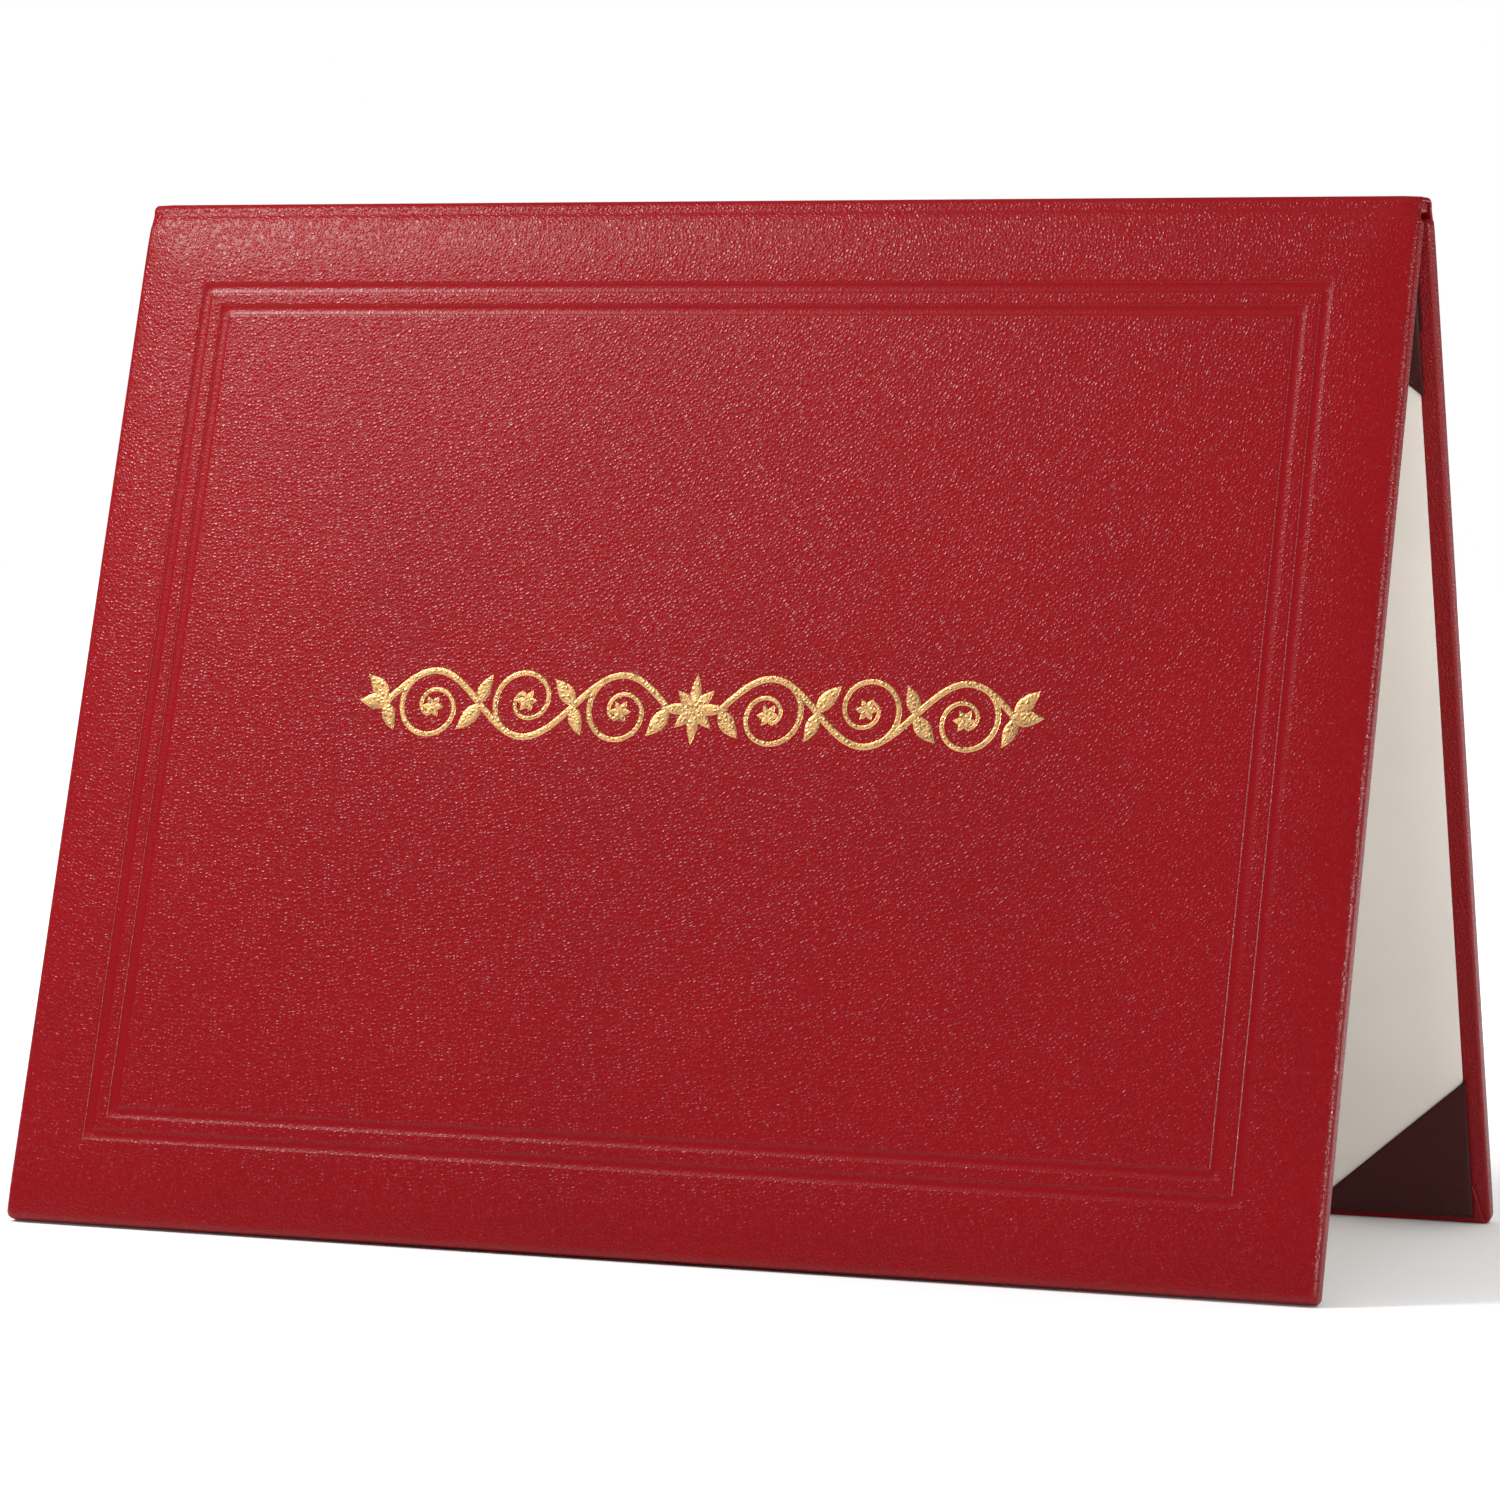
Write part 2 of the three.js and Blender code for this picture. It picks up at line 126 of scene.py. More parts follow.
class CoverSizes(bpy.types.PropertyGroup):
    """Sizes of the leather-covered boards and their sheets"""

    thickness: size_in_mm("Thickness", "From a cover's inner face to its outer face", 5.6)
    length: size_in_mm("Length", "From the fold line to the bottom edge", 227.2)
    hinge_edge: size_in_mm("Hinge edge", "From the fold line to the board's wrapped edge", 1.25)
    corner: size_in_mm("Corner radius", "Outer corners of a cover", 1.5)
    crown_width: size_in_mm("Crown width", "How far the padding rounds off from an edge", 13.0)
    crown_drop: size_in_mm("Crown drop", "How much lower the padding is at an edge", 1.1)
    edge_radius: size_in_mm("Edge radius", "Round of the leather over the outer edge", 1.2)
    inner_radius: size_in_mm("Inner edge radius", "Round of the leather where it turns in", 0.8)
    turn_in: size_in_mm("Turn-in", "Width of leather turned in behind the board", 15.0)
    hinge_tuck: size_in_mm("Hinge tuck", "Width of leather tucked in along the hinge", 2.0)
    leather: size_in_mm("Leather", "Thickness of the leatherette", 0.5)
    puff: size_in_mm("Puff", "Rise of the padding in the middle of the field", 0.35)
    ripple: size_in_mm("Ripple", "Height of the soft unevenness of the padding", 0.07)


class ToolingSizes(bpy.types.PropertyGroup):
    """Sizes of the blind-tooled double frame"""

    side: size_in_mm("Side", "From the cover's side to the outer line", 16.7)
    top: size_in_mm("Top", "From the hinge edge to the outer line", 15.25)
    bottom: size_in_mm("Bottom", "From the bottom edge to the outer line", 17.8)
    pitch: size_in_mm("Pitch", "Between the starts of the two lines", 5.05)
    width: size_in_mm("Line width", "Width of one tooled line", 2.4)
    depth: size_in_mm("Line depth", "Depth of a tooled line", 0.19)
    slope: size_in_mm("Line wall", "Width of a tooled line's sloping wall", 0.22)


class InsideSizes(bpy.types.PropertyGroup):
    """Sizes of the card, liner and corner pockets"""

    margin: size_in_mm("Glue gap", "Between one layer and the next", 0.3)
    card: size_in_mm("Card", "Thickness of the card", 0.6)
    liner: size_in_mm("Liner", "Thickness of the front cover's paper liner", 0.4)
    card_width: size_in_mm("Card width", "Across the card", 284.0)
    card_height: size_in_mm("Card height", "Down the card", 217.6)
    card_margin: size_in_mm("Card margin", "From the cover's bottom edge to the card", 2.6)
    pocket_width: size_in_mm("Pocket width", "Pocket's leg along the card's bottom or top", 37.0)
    pocket_height: size_in_mm("Pocket height", "Pocket's leg along the card's side", 31.7)
    pocket: size_in_mm("Pocket cloth", "Thickness of a pocket's cloth", 0.3)
    hem: size_in_mm("Pocket hem", "Width of the fold along a pocket's open edge", 2.5)
    lining_reach: size_in_mm("Lining reach", "From the fold line to the hinge lining's edge", 25.0)


class SpineSizes(bpy.types.PropertyGroup):
    """Sizes of the strip between the two folds"""

    crest: size_in_mm("Crest", "Rise of the spine above the fold lines", 2.5)
    bend: size_in_mm("Bend", "Radius of the spine's shoulders", 2.2)
    lining_drop: size_in_mm("Lining drop", "From the spine's leather down to its lining", 0.8)


class GiltSizes(bpy.types.PropertyGroup):
    """Sizes of the gilt scroll on the front"""

    width: size_in_mm("Width", "Length of the scroll", 155.0)
    height: size_in_mm("Height", "Height of the scroll", 15.5)
    from_fold: size_in_mm("From the fold", "From the fold line to the scroll's middle line", 110.9)
    scrolls: bpy.props.IntProperty(
        name="Scrolls", description="Scrolls on each side of the rosette", default=3)
    petals: bpy.props.IntProperty(
        name="Petals", description="Petals of the rosette", default=8)
    petal: size_in_mm("Petal", "Width of a petal", 2.5)
    stem: size_in_mm("Stem", "Width of the stem", 1.5)
    tendril: size_in_mm("Tendril", "Width of a tendril", 1.1)
    tendril_turn: bpy.props.FloatProperty(
        name="Tendril turn", description="Angle that a tendril winds",
        default=math.radians(470), subtype="ANGLE", unit="ROTATION")
    flower: size_in_mm("Flower", "Radius of a scroll's flower", 2.6)
    leaf_length: size_in_mm("Leaf length", "Length of a leaf", 7.5)
    leaf_width: size_in_mm("Leaf width", "Width of a leaf", 3.6)
    foil: size_in_mm("Foil", "Rise of the foil above the leather", 0.12)


class FinishColors(bpy.types.PropertyGroup):
    """Colours of the finishes"""

    leather: finish_color("Leather", "Colour of the cover's leatherette", (0.275, 0.0030, 0.0065))
    # Painted shade: the pits of the leather's grain take this darker colour, standing in for the shade that falls
    # in them
    leather_pit_shade: finish_color(
        "Leather pit shade", "Colour in the pits of the grain", (0.150, 0.002, 0.004))
    lining: finish_color(
        "Lining", "Colour of the pockets and the hinge lining", (0.055, 0.006, 0.005))
    # Painted shade: the pits of the lining's grain take this darker colour, standing in for the shade that falls
    # in them
    lining_pit_shade: finish_color(
        "Lining pit shade", "Colour in the pits of the lining's grain", (0.028, 0.004, 0.004))
    card: finish_color("Card", "Colour of the cream card", (0.920, 0.860, 0.790))
    gilt: finish_color("Gilt", "Colour of the gold foil", (0.800, 0.470, 0.200))


def in_mm(group, name):
    """A size of a property group, in millimetres."""
    return getattr(group, name) / MM


def to_row(side, x, v, n):
    """Points of a panel, in millimetres, as points of the row frame in metres."""
    scene = bpy.context.scene
    level = np.asarray(n, float) - in_mm(scene.cover_sizes, "thickness") + FACE_RISE / MM
    x, v, level = np.broadcast_arrays(np.asarray(x, float), np.asarray(v, float), level)
    y = side * (FOLD[1] / MM + v * math.sin(LEAN) + level * math.cos(LEAN))
    z = FOLD[2] / MM - v * math.cos(LEAN) + level * math.sin(LEAN)
    return np.stack([x, y, z], axis=-1) * MM


def half_width():
    """Half of the cover's width, in millimetres."""
    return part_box("front_skin")[1].x / MM


def smooth(share):
    """Share from 0 to 1 eased at both ends."""
    share = np.clip(share, 0.0, 1.0)
    return share * share * (3 - 2 * share)


def stations(low, high, marks, step):
    """Places from low to high through every mark, no more than step apart."""
    fixed = sorted({low, high, *[m for m in marks if low < m < high]})
    places = []
    for start, end in zip(fixed, fixed[1:]):
        count = max(1, math.ceil((end - start) / step - 1e-6))
        places.extend(start + (end - start) * i / count for i in range(count))
    return np.array([*places, high])


def soft_noise(points, size, seed):
    """Even noise for points in millimetres, with bumps about size across."""
    offset = Vector((seed * 17.3, seed * 5.1, seed * 9.7))
    return np.array([noise.noise(Vector((x / size, v / size, 0.0)) + offset) for x, v in points])


def new_piece(name, points, faces, material):
    """Mesh object at the origin, smooth shaded."""
    mesh = bpy.data.meshes.new(name)
    mesh.from_pydata([tuple(p) for p in points], [], faces)
    mesh.materials.append(material)
    mesh.polygons.foreach_set("use_smooth", [True] * len(mesh.polygons))
    mesh.update()
    piece = bpy.data.objects.new(name, mesh)
    bpy.context.scene.collection.objects.link(piece)
    return piece


def grid_faces(rows, columns, first=0, flip=False, closed=False):
    """Quads between rows of points that are laid out one row after another."""
    faces = []
    across = columns if closed else columns - 1
    for row in range(rows - 1):
        for column in range(across):
            a = first + row * columns + column
            b = first + row * columns + (column + 1) % columns
            c, d = b + columns, a + columns
            faces.append((a, d, c, b) if flip else (a, b, c, d))
    return faces


def border_loop(rows, columns):
    """Row and column of each point on a grid's border, in order around it."""
    order = [(0, column) for column in range(columns)]
    order += [(row, columns - 1) for row in range(1, rows)]
    order += [(rows - 1, column) for column in range(columns - 2, -1, -1)]
    order += [(row, 0) for row in range(rows - 2, 0, -1)]
    return order


def loop_faces(start, end, flip):
    """Quads between two closed loops of points, given by the points' numbers."""
    quads = zip(start, end, end[1:] + end[:1], start[1:] + start[:1])
    return [quad[::-1] if flip else quad for quad in quads]


def with_thickness(piece, thickness):
    """Gives a one-sided sheet its thickness, inwards, and applies it."""
    solid = piece.modifiers.new("Thickness", "SOLIDIFY")
    solid.thickness = thickness
    solid.offset = -1
    apply_modifiers(piece)
    piece.data.set_sharp_from_angle(angle=SHEET_SHARP)
    return piece


def apply_modifiers(piece):
    """Turns the piece into the plain mesh that its modifiers make."""
    evaluated = piece.evaluated_get(bpy.context.evaluated_depsgraph_get())
    mesh = bpy.data.meshes.new_from_object(evaluated)
    mesh.name = piece.name
    piece.modifiers.clear()
    piece.data = mesh
    mesh.polygons.foreach_set("use_smooth", [True] * len(mesh.polygons))


class Panel:
    """Face, edges and turn-ins of one leather-covered board, in millimetres."""

    GRID_INSET = 2.0
    CORNER_MARKS = (0.5, 1.0, 1.5)
    EDGE_MARKS = (2.6, 3.4, 4.6, 6.2, 8.2, 10.5)
    STEP = 2.6
    EDGE_STEPS = 5
    # Draw of the padding beside a tooled line, and the rim of grain that the tool presses there
    SAG = 0.012
    SAG_WIDTH = 1.0
    PRESS_MARGIN = 0.35
    # Widths of the padding's soft waves, and how far from the edges it is calm or still rises
    WIDE_WAVE = 34.0
    FINE_WAVE = 9.0
    FINE_SHARE = 0.3
    CALM_EDGE = 2.0
    CALM_REACH = 10.0
    PUFF_EDGE = 4.0
    PUFF_REACH = 45.0

    def __init__(self, side, tooled):
        scene = bpy.context.scene
        self.side = side
        self.tooled = tooled
        self.sizes = {name: in_mm(scene.cover_sizes, name) for name in (
            "thickness", "length", "hinge_edge", "corner", "crown_width", "crown_drop",
            "edge_radius", "inner_radius", "turn_in", "hinge_tuck", "puff", "ripple")}
        self.tool = {name: in_mm(scene.tooling_sizes, name) for name in (
            "side", "top", "bottom", "pitch", "width", "depth", "slope")}
        self.half = half_width()
        self.top = self.sizes["hinge_edge"]
        self.bottom = self.sizes["length"]

    def insets(self, x, v):
        """Distances to the side, top and bottom edges."""
        return self.half - np.abs(x), v - self.top, self.bottom - v

    def crown(self, x, v):
        """How much lower the padding is towards the edges, rounder at the corners."""
        across, down, up = self.insets(x, v)
        width = self.sizes["crown_width"]
        reach = [np.clip(width - d, 0, None) ** 4 for d in (across, np.minimum(down, up))]
        return self.sizes["crown_drop"] * np.sqrt(reach[0] + reach[1]) / width ** 2

    def frame_distance(self, x, v):
        """Distance inside the outer tooled line, negative outside it."""
        across, down, up = self.insets(x, v)
        tool = self.tool
        return np.minimum(across - tool["side"], np.minimum(down - tool["top"], up - tool["bottom"]))

    def line_reach(self, x, v):
        """How far points lie inside each of the two tooled lines, negative beside it."""
        inside = self.frame_distance(x, v)
        return [np.minimum(inside - start, start + self.tool["width"] - inside)
                for start in (0.0, self.tool["pitch"])]

    def tooling(self, x, v):
        """Depth of the tooled lines, with the padding drawn down beside them."""
        if not self.tooled:
            return 0.0
        depth = 0.0
        for reach in self.line_reach(x, v):
            depth = depth + self.tool["depth"] * smooth(reach / self.tool["slope"])
            beside = np.clip(-reach, 0, None)
            depth = depth + self.SAG * np.exp(-(beside / self.SAG_WIDTH) ** 2)
        return depth

    def pressed(self, x, v):
        """How far the hot tool has flattened the grain, from 0 to 1."""
        if not self.tooled:
            return np.zeros(np.shape(x))
        return smooth(1 + np.maximum(*self.line_reach(x, v)) / self.PRESS_MARGIN)

    def height(self, x, v):
        """Height of the leather's face above the inner face."""
        across, down, up = self.insets(x, v)
        inner = np.minimum(across, np.minimum(down, up))
        points = list(zip(np.ravel(x), np.ravel(v)))
        shape = np.shape(x)
        wide = soft_noise(points, self.WIDE_WAVE, 3 + self.side).reshape(shape)
        fine = soft_noise(points, self.FINE_WAVE, 7 + self.side).reshape(shape)
        calm = smooth((inner - self.CALM_EDGE) / self.CALM_REACH)
        ripple = self.sizes["ripple"] * (wide + self.FINE_SHARE * fine) * calm
        pillow = self.sizes["puff"] * smooth((inner - self.PUFF_EDGE) / self.PUFF_REACH)
        return self.sizes["thickness"] - self.crown(x, v) - self.tooling(x, v) + ripple + pillow

    def marks(self, low, high):
        """Places near both ends of a side that the grid's lines have to pass through."""
        near = (*self.EDGE_MARKS, *(self.GRID_INSET + corner for corner in self.CORNER_MARKS))
        return [place for mark in near for place in (low + mark, high - mark)]

    def tool_marks(self):
        """Distances from the outer line at which the tooled lines need a grid line."""
        slope, width = self.tool["slope"], self.tool["width"]
        across = (-2.0, -1.0, -0.4, 0.0, slope / 4, slope / 2, slope * 3 / 4, slope)
        return [start + side for start in (0.0, self.tool["pitch"])
                for mark in across for side in (mark, width - mark)]

    def grid(self):
        """Places of the face grid's lines, across and down."""
        low, high = -self.half, self.half
        across, down = self.marks(low, high), self.marks(self.top, self.bottom)
        if self.tooled:
            for mark in self.tool_marks():
                across.extend((low + self.tool["side"] + mark, high - self.tool["side"] - mark))
                down.append(self.top + self.tool["top"] + mark)
                down.append(self.bottom - self.tool["bottom"] - mark)
        inset = self.GRID_INSET
        xs = stations(low + inset, high - inset, across, self.STEP)
        vs = stations(self.top + inset, self.bottom - inset, down, self.STEP)
        return xs, vs

    def ring(self, xs, vs, order, side, top, bottom, corner):
        """The border's points moved out to a rounded outline with the given insets."""
        marks = (0.0, *self.CORNER_MARKS)
        reach = marks[-1]
        left, right = -self.half + side, self.half - side
        high, low = self.top + top, self.bottom - bottom
        points = []
        for row, column in order:
            x, v = xs[column], vs[row]
            ends = [(xs[0], -1), (xs[-1], 1)]
            x_end = min(ends, key=lambda e: abs(e[0] - x))
            v_end = min([(vs[0], -1), (vs[-1], 1)], key=lambda e: abs(e[0] - v))
            off_x, off_v = abs(x - x_end[0]), abs(v - v_end[0])
            if max(off_x, off_v) < reach + 1e-6:
                turn = math.radians(45) * (1 + (off_v - off_x) / reach)
                centre_x = (right - corner) if x_end[1] > 0 else (left + corner)
                centre_v = (low - corner) if v_end[1] > 0 else (high + corner)
                points.append((centre_x + x_end[1] * corner * math.sin(turn),
                               centre_v + v_end[1] * corner * math.cos(turn)))
            elif off_v < 1e-6:
                share = (x - xs[0] - reach) / (xs[-1] - xs[0] - 2 * reach)
                points.append((left + corner + share * (right - left - 2 * corner),
                               low if v_end[1] > 0 else high))
            else:
                share = (v - vs[0] - reach) / (vs[-1] - vs[0] - 2 * reach)
                points.append((right if x_end[1] > 0 else left,
                               high + corner + share * (low - high - 2 * corner)))
        return np.array(points)

    def rings(self, xs, vs, order):
        """Outline and height of each ring from the face's border round to the turn-in's edge."""
        radius, inner = self.sizes["edge_radius"], self.sizes["inner_radius"]
        found = []
        for step in range(self.EDGE_STEPS + 1):
            angle = math.pi / 2 * step / self.EDGE_STEPS
            inset = radius * (1 - math.sin(angle))
            outline = self.ring(xs, vs, order, inset, inset, inset, self.sizes["corner"])
            top = self.sizes["thickness"] - self.crown(outline[:, 0], outline[:, 1])
            found.append((outline, top - radius * (1 - math.cos(angle))))
        for step in range(self.EDGE_STEPS + 1):
            angle = math.pi / 2 * step / self.EDGE_STEPS
            inset = inner * (1 - math.cos(angle))
            outline = self.ring(xs, vs, order, inset, inset, inset, self.sizes["corner"])
            found.append((outline, np.full(len(outline), inner * (1 - math.sin(angle)))))
        tuck, turn_in = self.sizes["hinge_tuck"], self.sizes["turn_in"]
        outline = self.ring(xs, vs, order, turn_in, tuck, turn_in, self.sizes["corner"])
        found.append((outline, np.zeros(len(outline))))
        return found

    def shell(self):
        """Points in the row frame, faces and pressed grain of the wrapped leather."""
        xs, vs = self.grid()
        columns, rows = len(xs), len(vs)
        x, v = np.meshgrid(xs, vs)
        points = [to_row(self.side, x, v, self.height(x, v)).reshape(-1, 3)]
        flip = self.side < 0
        faces = grid_faces(rows, columns, flip=flip)
        order = border_loop(rows, columns)
        ring_start = [row * columns + column for row, column in order]
        first = rows * columns
        for outline, height in self.rings(xs, vs, order):
            points.append(to_row(self.side, outline[:, 0], outline[:, 1], height))
            ring_end = list(range(first, first + len(order)))
            faces += loop_faces(ring_start, ring_end, flip)
            ring_start, first = ring_end, first + len(order)
        points = np.concatenate(points)
        pressed = np.zeros(len(points))
        pressed[:rows * columns] = self.pressed(x, v).ravel()
        return points, faces, pressed


def spine_profile(drop, steps):
    """Half of the spine's section from its middle to its shoulder, as y and z off the fold."""
    sizes = bpy.context.scene.spine_sizes
    half = FOLD[1] / MM - drop
    crest = in_mm(sizes, "crest") - drop
    bend = in_mm(sizes, "bend") - drop
    section = [((half - bend) * i / 3, crest) for i in range(3)]
    for step in range(steps + 1):
        angle = math.pi / 2 * step / steps
        section.append((half - bend + bend * math.sin(angle), crest - bend + bend * math.cos(angle)))
    return [(y - FOLD[1] / MM, z) for y, z in section]


def off_fold(v, n):
    """A panel's point as y and z off the fold line, in millimetres."""
    level = n - in_mm(bpy.context.scene.cover_sizes, "thickness") + FACE_RISE / MM
    return (v * math.sin(LEAN) + level * math.cos(LEAN),
            -v * math.cos(LEAN) + level * math.sin(LEAN))


def joint_profile(panel, drop, x):
    """Section of the leather from the spine's middle over the joint onto a cover's face."""
    section = spine_profile(drop, 6)
    for v, lift in JOINT_LIFTS:
        face = panel.sizes["thickness"] - float(panel.crown(x, v)) + lift - JOINT_DEPTH * drop
        section.append(off_fold(v, face))
    return np.array(section)


def spine_sheet(panel, first):
    """Points and faces of half of the spine's leather, with its ends folded under."""
    hem = SPINE_HEM
    half = panel.half - SPINE_INSET
    folds = [(half - inset, depth) for inset, depth in SPINE_FOLD]
    folds += [(half - hem + hem * math.sin(a), hem + hem * math.cos(a))
              for a in (math.pi * k / 6 for k in range(1, 6))]
    folds += [(half - hem, 0.0)]
    across = [(-x, d) for x, d in folds]
    across += [(x, 0.0) for x in stations(-half + SPINE_STEP, half - SPINE_STEP, (), SPINE_STEP)]
    across += [(x, d) for x, d in reversed(folds)]
    points = []
    for x, inward in across:
        near_end = max(0.0, 1 - (half - abs(x)) / SPINE_ROUNDING)
        share = min(inward + 0.3 * near_end ** 2, 1.1) / (2 * hem)
        outer, inner = joint_profile(panel, 0.0, x), joint_profile(panel, 2 * hem, x)
        # The folded ends reach deeper where the strip runs onto the cover
        deeper = 1 + 0.7 * smooth((np.arange(len(outer)) - 6) / 5)
        section = outer + (inner - outer) * share * deeper[:, None]
        for y, z in section:
            points.append((x * MM, panel.side * (FOLD[1] + y * MM), FOLD[2] + z * MM))
    columns = len(points) // len(across)
    return np.array(points), grid_faces(len(across), columns, first, flip=panel.side > 0)


def spine_ends():
    """Leather turned in at both ends of the spine, which closes the hollow under it."""
    outline = [*END_OUTLINE, *((-y, z) for y, z in reversed(END_OUTLINE[1:]))]
    count = len(outline)
    points, faces = [], []
    for mirror in (-1, 1):
        first = len(points)
        faces += grid_faces(len(END_ROWS), count, first, flip=mirror < 0, closed=True)
        caps = [tuple(range(start, start + count))
                for start in (first, first + count * (len(END_ROWS) - 1))]
        faces += [caps[0][::-mirror], caps[1][::mirror]]
        for inset, share in END_ROWS:
            points.extend((mirror * (half_width() - inset) * MM, y * share * MM,
                           FOLD[2] + (END_MIDDLE + (z - END_MIDDLE) * share) * MM)
                          for y, z in outline)
    piece = new_piece("spine_end_folds", points, faces, bpy.data.materials["red_leatherette"])
    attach(piece, "spine")


def blend_at_fold(piece, body):
    """Bakes a piece's placement into its mesh, in the same way for either cover."""
    if body == "front_cover":
        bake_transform(piece)
    else:
        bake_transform(piece)


def new_group(name, inputs, outputs):
    """Shader node group with its named sockets."""
    group = bpy.data.node_groups.new(name, "ShaderNodeTree")
    for label, kind, value in inputs:
        made = group.interface.new_socket(label, in_out="INPUT", socket_type=kind)
        made.default_value = value
    for label, kind in outputs:
        group.interface.new_socket(label, in_out="OUTPUT", socket_type=kind)
    return group, group.nodes.new("NodeGroupInput"), group.nodes.new("NodeGroupOutput")


def feed(tree, node, feeds):
    """Feeds a node's inputs from sockets, or sets them to values."""
    for name, value in dict(feeds).items():
        if isinstance(value, bpy.types.NodeSocket):
            tree.links.new(value, node.inputs[name])
        else:
            node.inputs[name].default_value = value


def add_node(tree, kind, feeds=(), **settings):
    """New node with its settings and its fed inputs."""
    node = tree.nodes.new(kind)
    for name, value in settings.items():
        setattr(node, name, value)
    feed(tree, node, feeds)
    return node


def math_node(tree, operation, *values, clamp=False):
    """Result of a Math node fed by sockets or numbers."""
    node = add_node(tree, "ShaderNodeMath", enumerate(values), operation=operation, use_clamp=clamp)
    return node.outputs[0]


def noise_node(tree, coords, scale, detail):
    """Noise texture of a scale per metre."""
    return add_node(tree, "ShaderNodeTexNoise", {"Vector": coords, "Scale": scale, "Detail": detail})


def ramp_node(tree, factor, low, high):
    """Map Range from low..high to 0..1, smooth."""
    node = add_node(tree, "ShaderNodeMapRange", {"Value": factor, "From Min": low, "From Max": high},
                    interpolation_type="SMOOTHSTEP")
    return node.outputs["Result"]


def grain_group():
    """Pebbled leather grain: height and pits of irregular pebbles, for coordinates in metres."""
    tree, given, out = new_group(
        "pebble_grain",
        [("Vector", "NodeSocketVector", (0, 0, 0)), ("Pebbles per metre", "NodeSocketFloat", 1000.0)],
        [("Height", "NodeSocketFloat"), ("Pits", "NodeSocketFloat")],
    )
    coords = given.outputs["Vector"]
    warp = noise_node(tree, coords, 700.0, 2.0)
    warp_reach = (0.6 * MM, 0.6 * MM, 0.6 * MM)
    shift = add_node(tree, "ShaderNodeVectorMath",
                     {0: warp.outputs["Color"], 1: warp_reach, 2: coords}, operation="MULTIPLY_ADD")
    pebbles_per_metre = given.outputs["Pebbles per metre"]
    cells = add_node(tree, "ShaderNodeTexVoronoi",
                     {"Vector": shift.outputs[0], "Scale": pebbles_per_metre},
                     feature="DISTANCE_TO_EDGE")
    pebbles = ramp_node(tree, cells.outputs["Distance"], 0.0, 0.45)
    crease = noise_node(tree, coords, 2600.0, 3.0)
    fine = math_node(tree, "MULTIPLY", crease.outputs["Fac"], 0.35)
    feed(tree, out, {"Height": math_node(tree, "ADD", pebbles, fine),
                     "Pits": math_node(tree, "SUBTRACT", 1.0, pebbles, clamp=True)})


def patches_group():
    """Broad, soft unevenness of tone, and scattered spots for painted glints, for coordinates in metres."""
    tree, given, out = new_group(
        "tone_patches",
        [("Vector", "NodeSocketVector", (0, 0, 0)), ("Patch scale", "NodeSocketFloat", 18.0)],
        [("Tone", "NodeSocketFloat"), ("Specks", "NodeSocketFloat")],
    )
    coords = given.outputs["Vector"]
    broad = noise_node(tree, coords, given.outputs["Patch scale"], 4.0)
    # Painted glints: sparse small spots, which the leather brightens in place of its specular glints
    dots = add_node(tree, "ShaderNodeTexVoronoi", {"Vector": coords, "Scale": 420.0})
    near = math_node(tree, "LESS_THAN", dots.outputs["Distance"], 0.1)
    pick = add_node(tree, "ShaderNodeSeparateColor", {"Color": dots.outputs["Color"]})
    few = math_node(tree, "GREATER_THAN", pick.outputs["Red"], 0.55)
    feed(tree, out, {"Tone": ramp_node(tree, broad.outputs["Fac"], 0.3, 0.7),
                     "Specks": math_node(tree, "MULTIPLY", near, few)})


def new_material(name):
    """Empty node material with its Principled shader, and the object's coordinates."""
    material = bpy.data.materials.new(name)
    material.use_nodes = True
    tree = material.node_tree
    shader = tree.nodes["Principled BSDF"]
    coords = tree.nodes.new("ShaderNodeTexCoord")
    return material, tree, shader, coords.outputs["Object"]


def placed_group(tree, name, coords, **values):
    """A shared node group placed in a material with its own values."""
    feeds = {label.replace("_", " "): value for label, value in values.items()}
    return add_node(tree, "ShaderNodeGroup", {"Vector": coords, **feeds},
                    node_tree=bpy.data.node_groups[name])


def mixed_color(tree, factor, low, high):
    """Mix of two colours by a factor socket."""
    feeds = {0: factor}
    for slot, color in ((6, low), (7, high)):
        feeds[slot] = color if isinstance(color, bpy.types.NodeSocket) else (*color, 1.0)
    return add_node(tree, "ShaderNodeMix", feeds, data_type="RGBA").outputs[2]


def bump_node(tree, height, distance):
    """Bump from a height socket, for a height of 1 that stands distance metres."""
    node = add_node(tree, "ShaderNodeBump", {"Height": height, "Strength": 1.0, "Distance": distance})
    return node.outputs["Normal"]


def leather_material(name, color, pits, pebbles, roughness, grain_height):
    """Embossed leatherette: pebbled grain with painted shade in its pits, painted glints on scattered spots,
    uneven tone and a thin satin topcoat.
    """
    material, tree, shader, coords = new_material(name)
    grain = placed_group(tree, "pebble_grain", coords, Pebbles_per_metre=pebbles)
    tone = placed_group(tree, "tone_patches", coords, Patch_scale=16.0)
    # Painted shade: the grain's pits are mixed towards the darker pit colour
    pit_shade_share = math_node(tree, "MULTIPLY", grain.outputs["Pits"], 0.45)
    base = mixed_color(tree, pit_shade_share, color, pits)
    lighter = tuple(min(1.0, c * 1.08) for c in color)
    toned = mixed_color(tree, math_node(tree, "MULTIPLY", tone.outputs["Tone"], 0.3), base, lighter)
    # Painted glints: the scattered spots are mixed towards a brighter colour
    glint_color = tuple(min(1.0, c * 1.4 + 0.05) for c in color)
    final = mixed_color(tree, math_node(tree, "MULTIPLY", tone.outputs["Specks"], 0.6), toned, glint_color)
    tooled = add_node(tree, "ShaderNodeAttribute", attribute_name="pressed")
    raised = math_node(tree, "MULTIPLY_ADD", tooled.outputs["Fac"], -0.6, 1.0)
    height = math_node(tree, "MULTIPLY", grain.outputs["Height"], raised)
    feed(tree, shader, {
        "Base Color": final,
        "Roughness": math_node(tree, "MULTIPLY_ADD", grain.outputs["Pits"], 0.15, roughness),
        "Specular IOR Level": 0.22,
        "Normal": bump_node(tree, height, grain_height),
    })
    return material


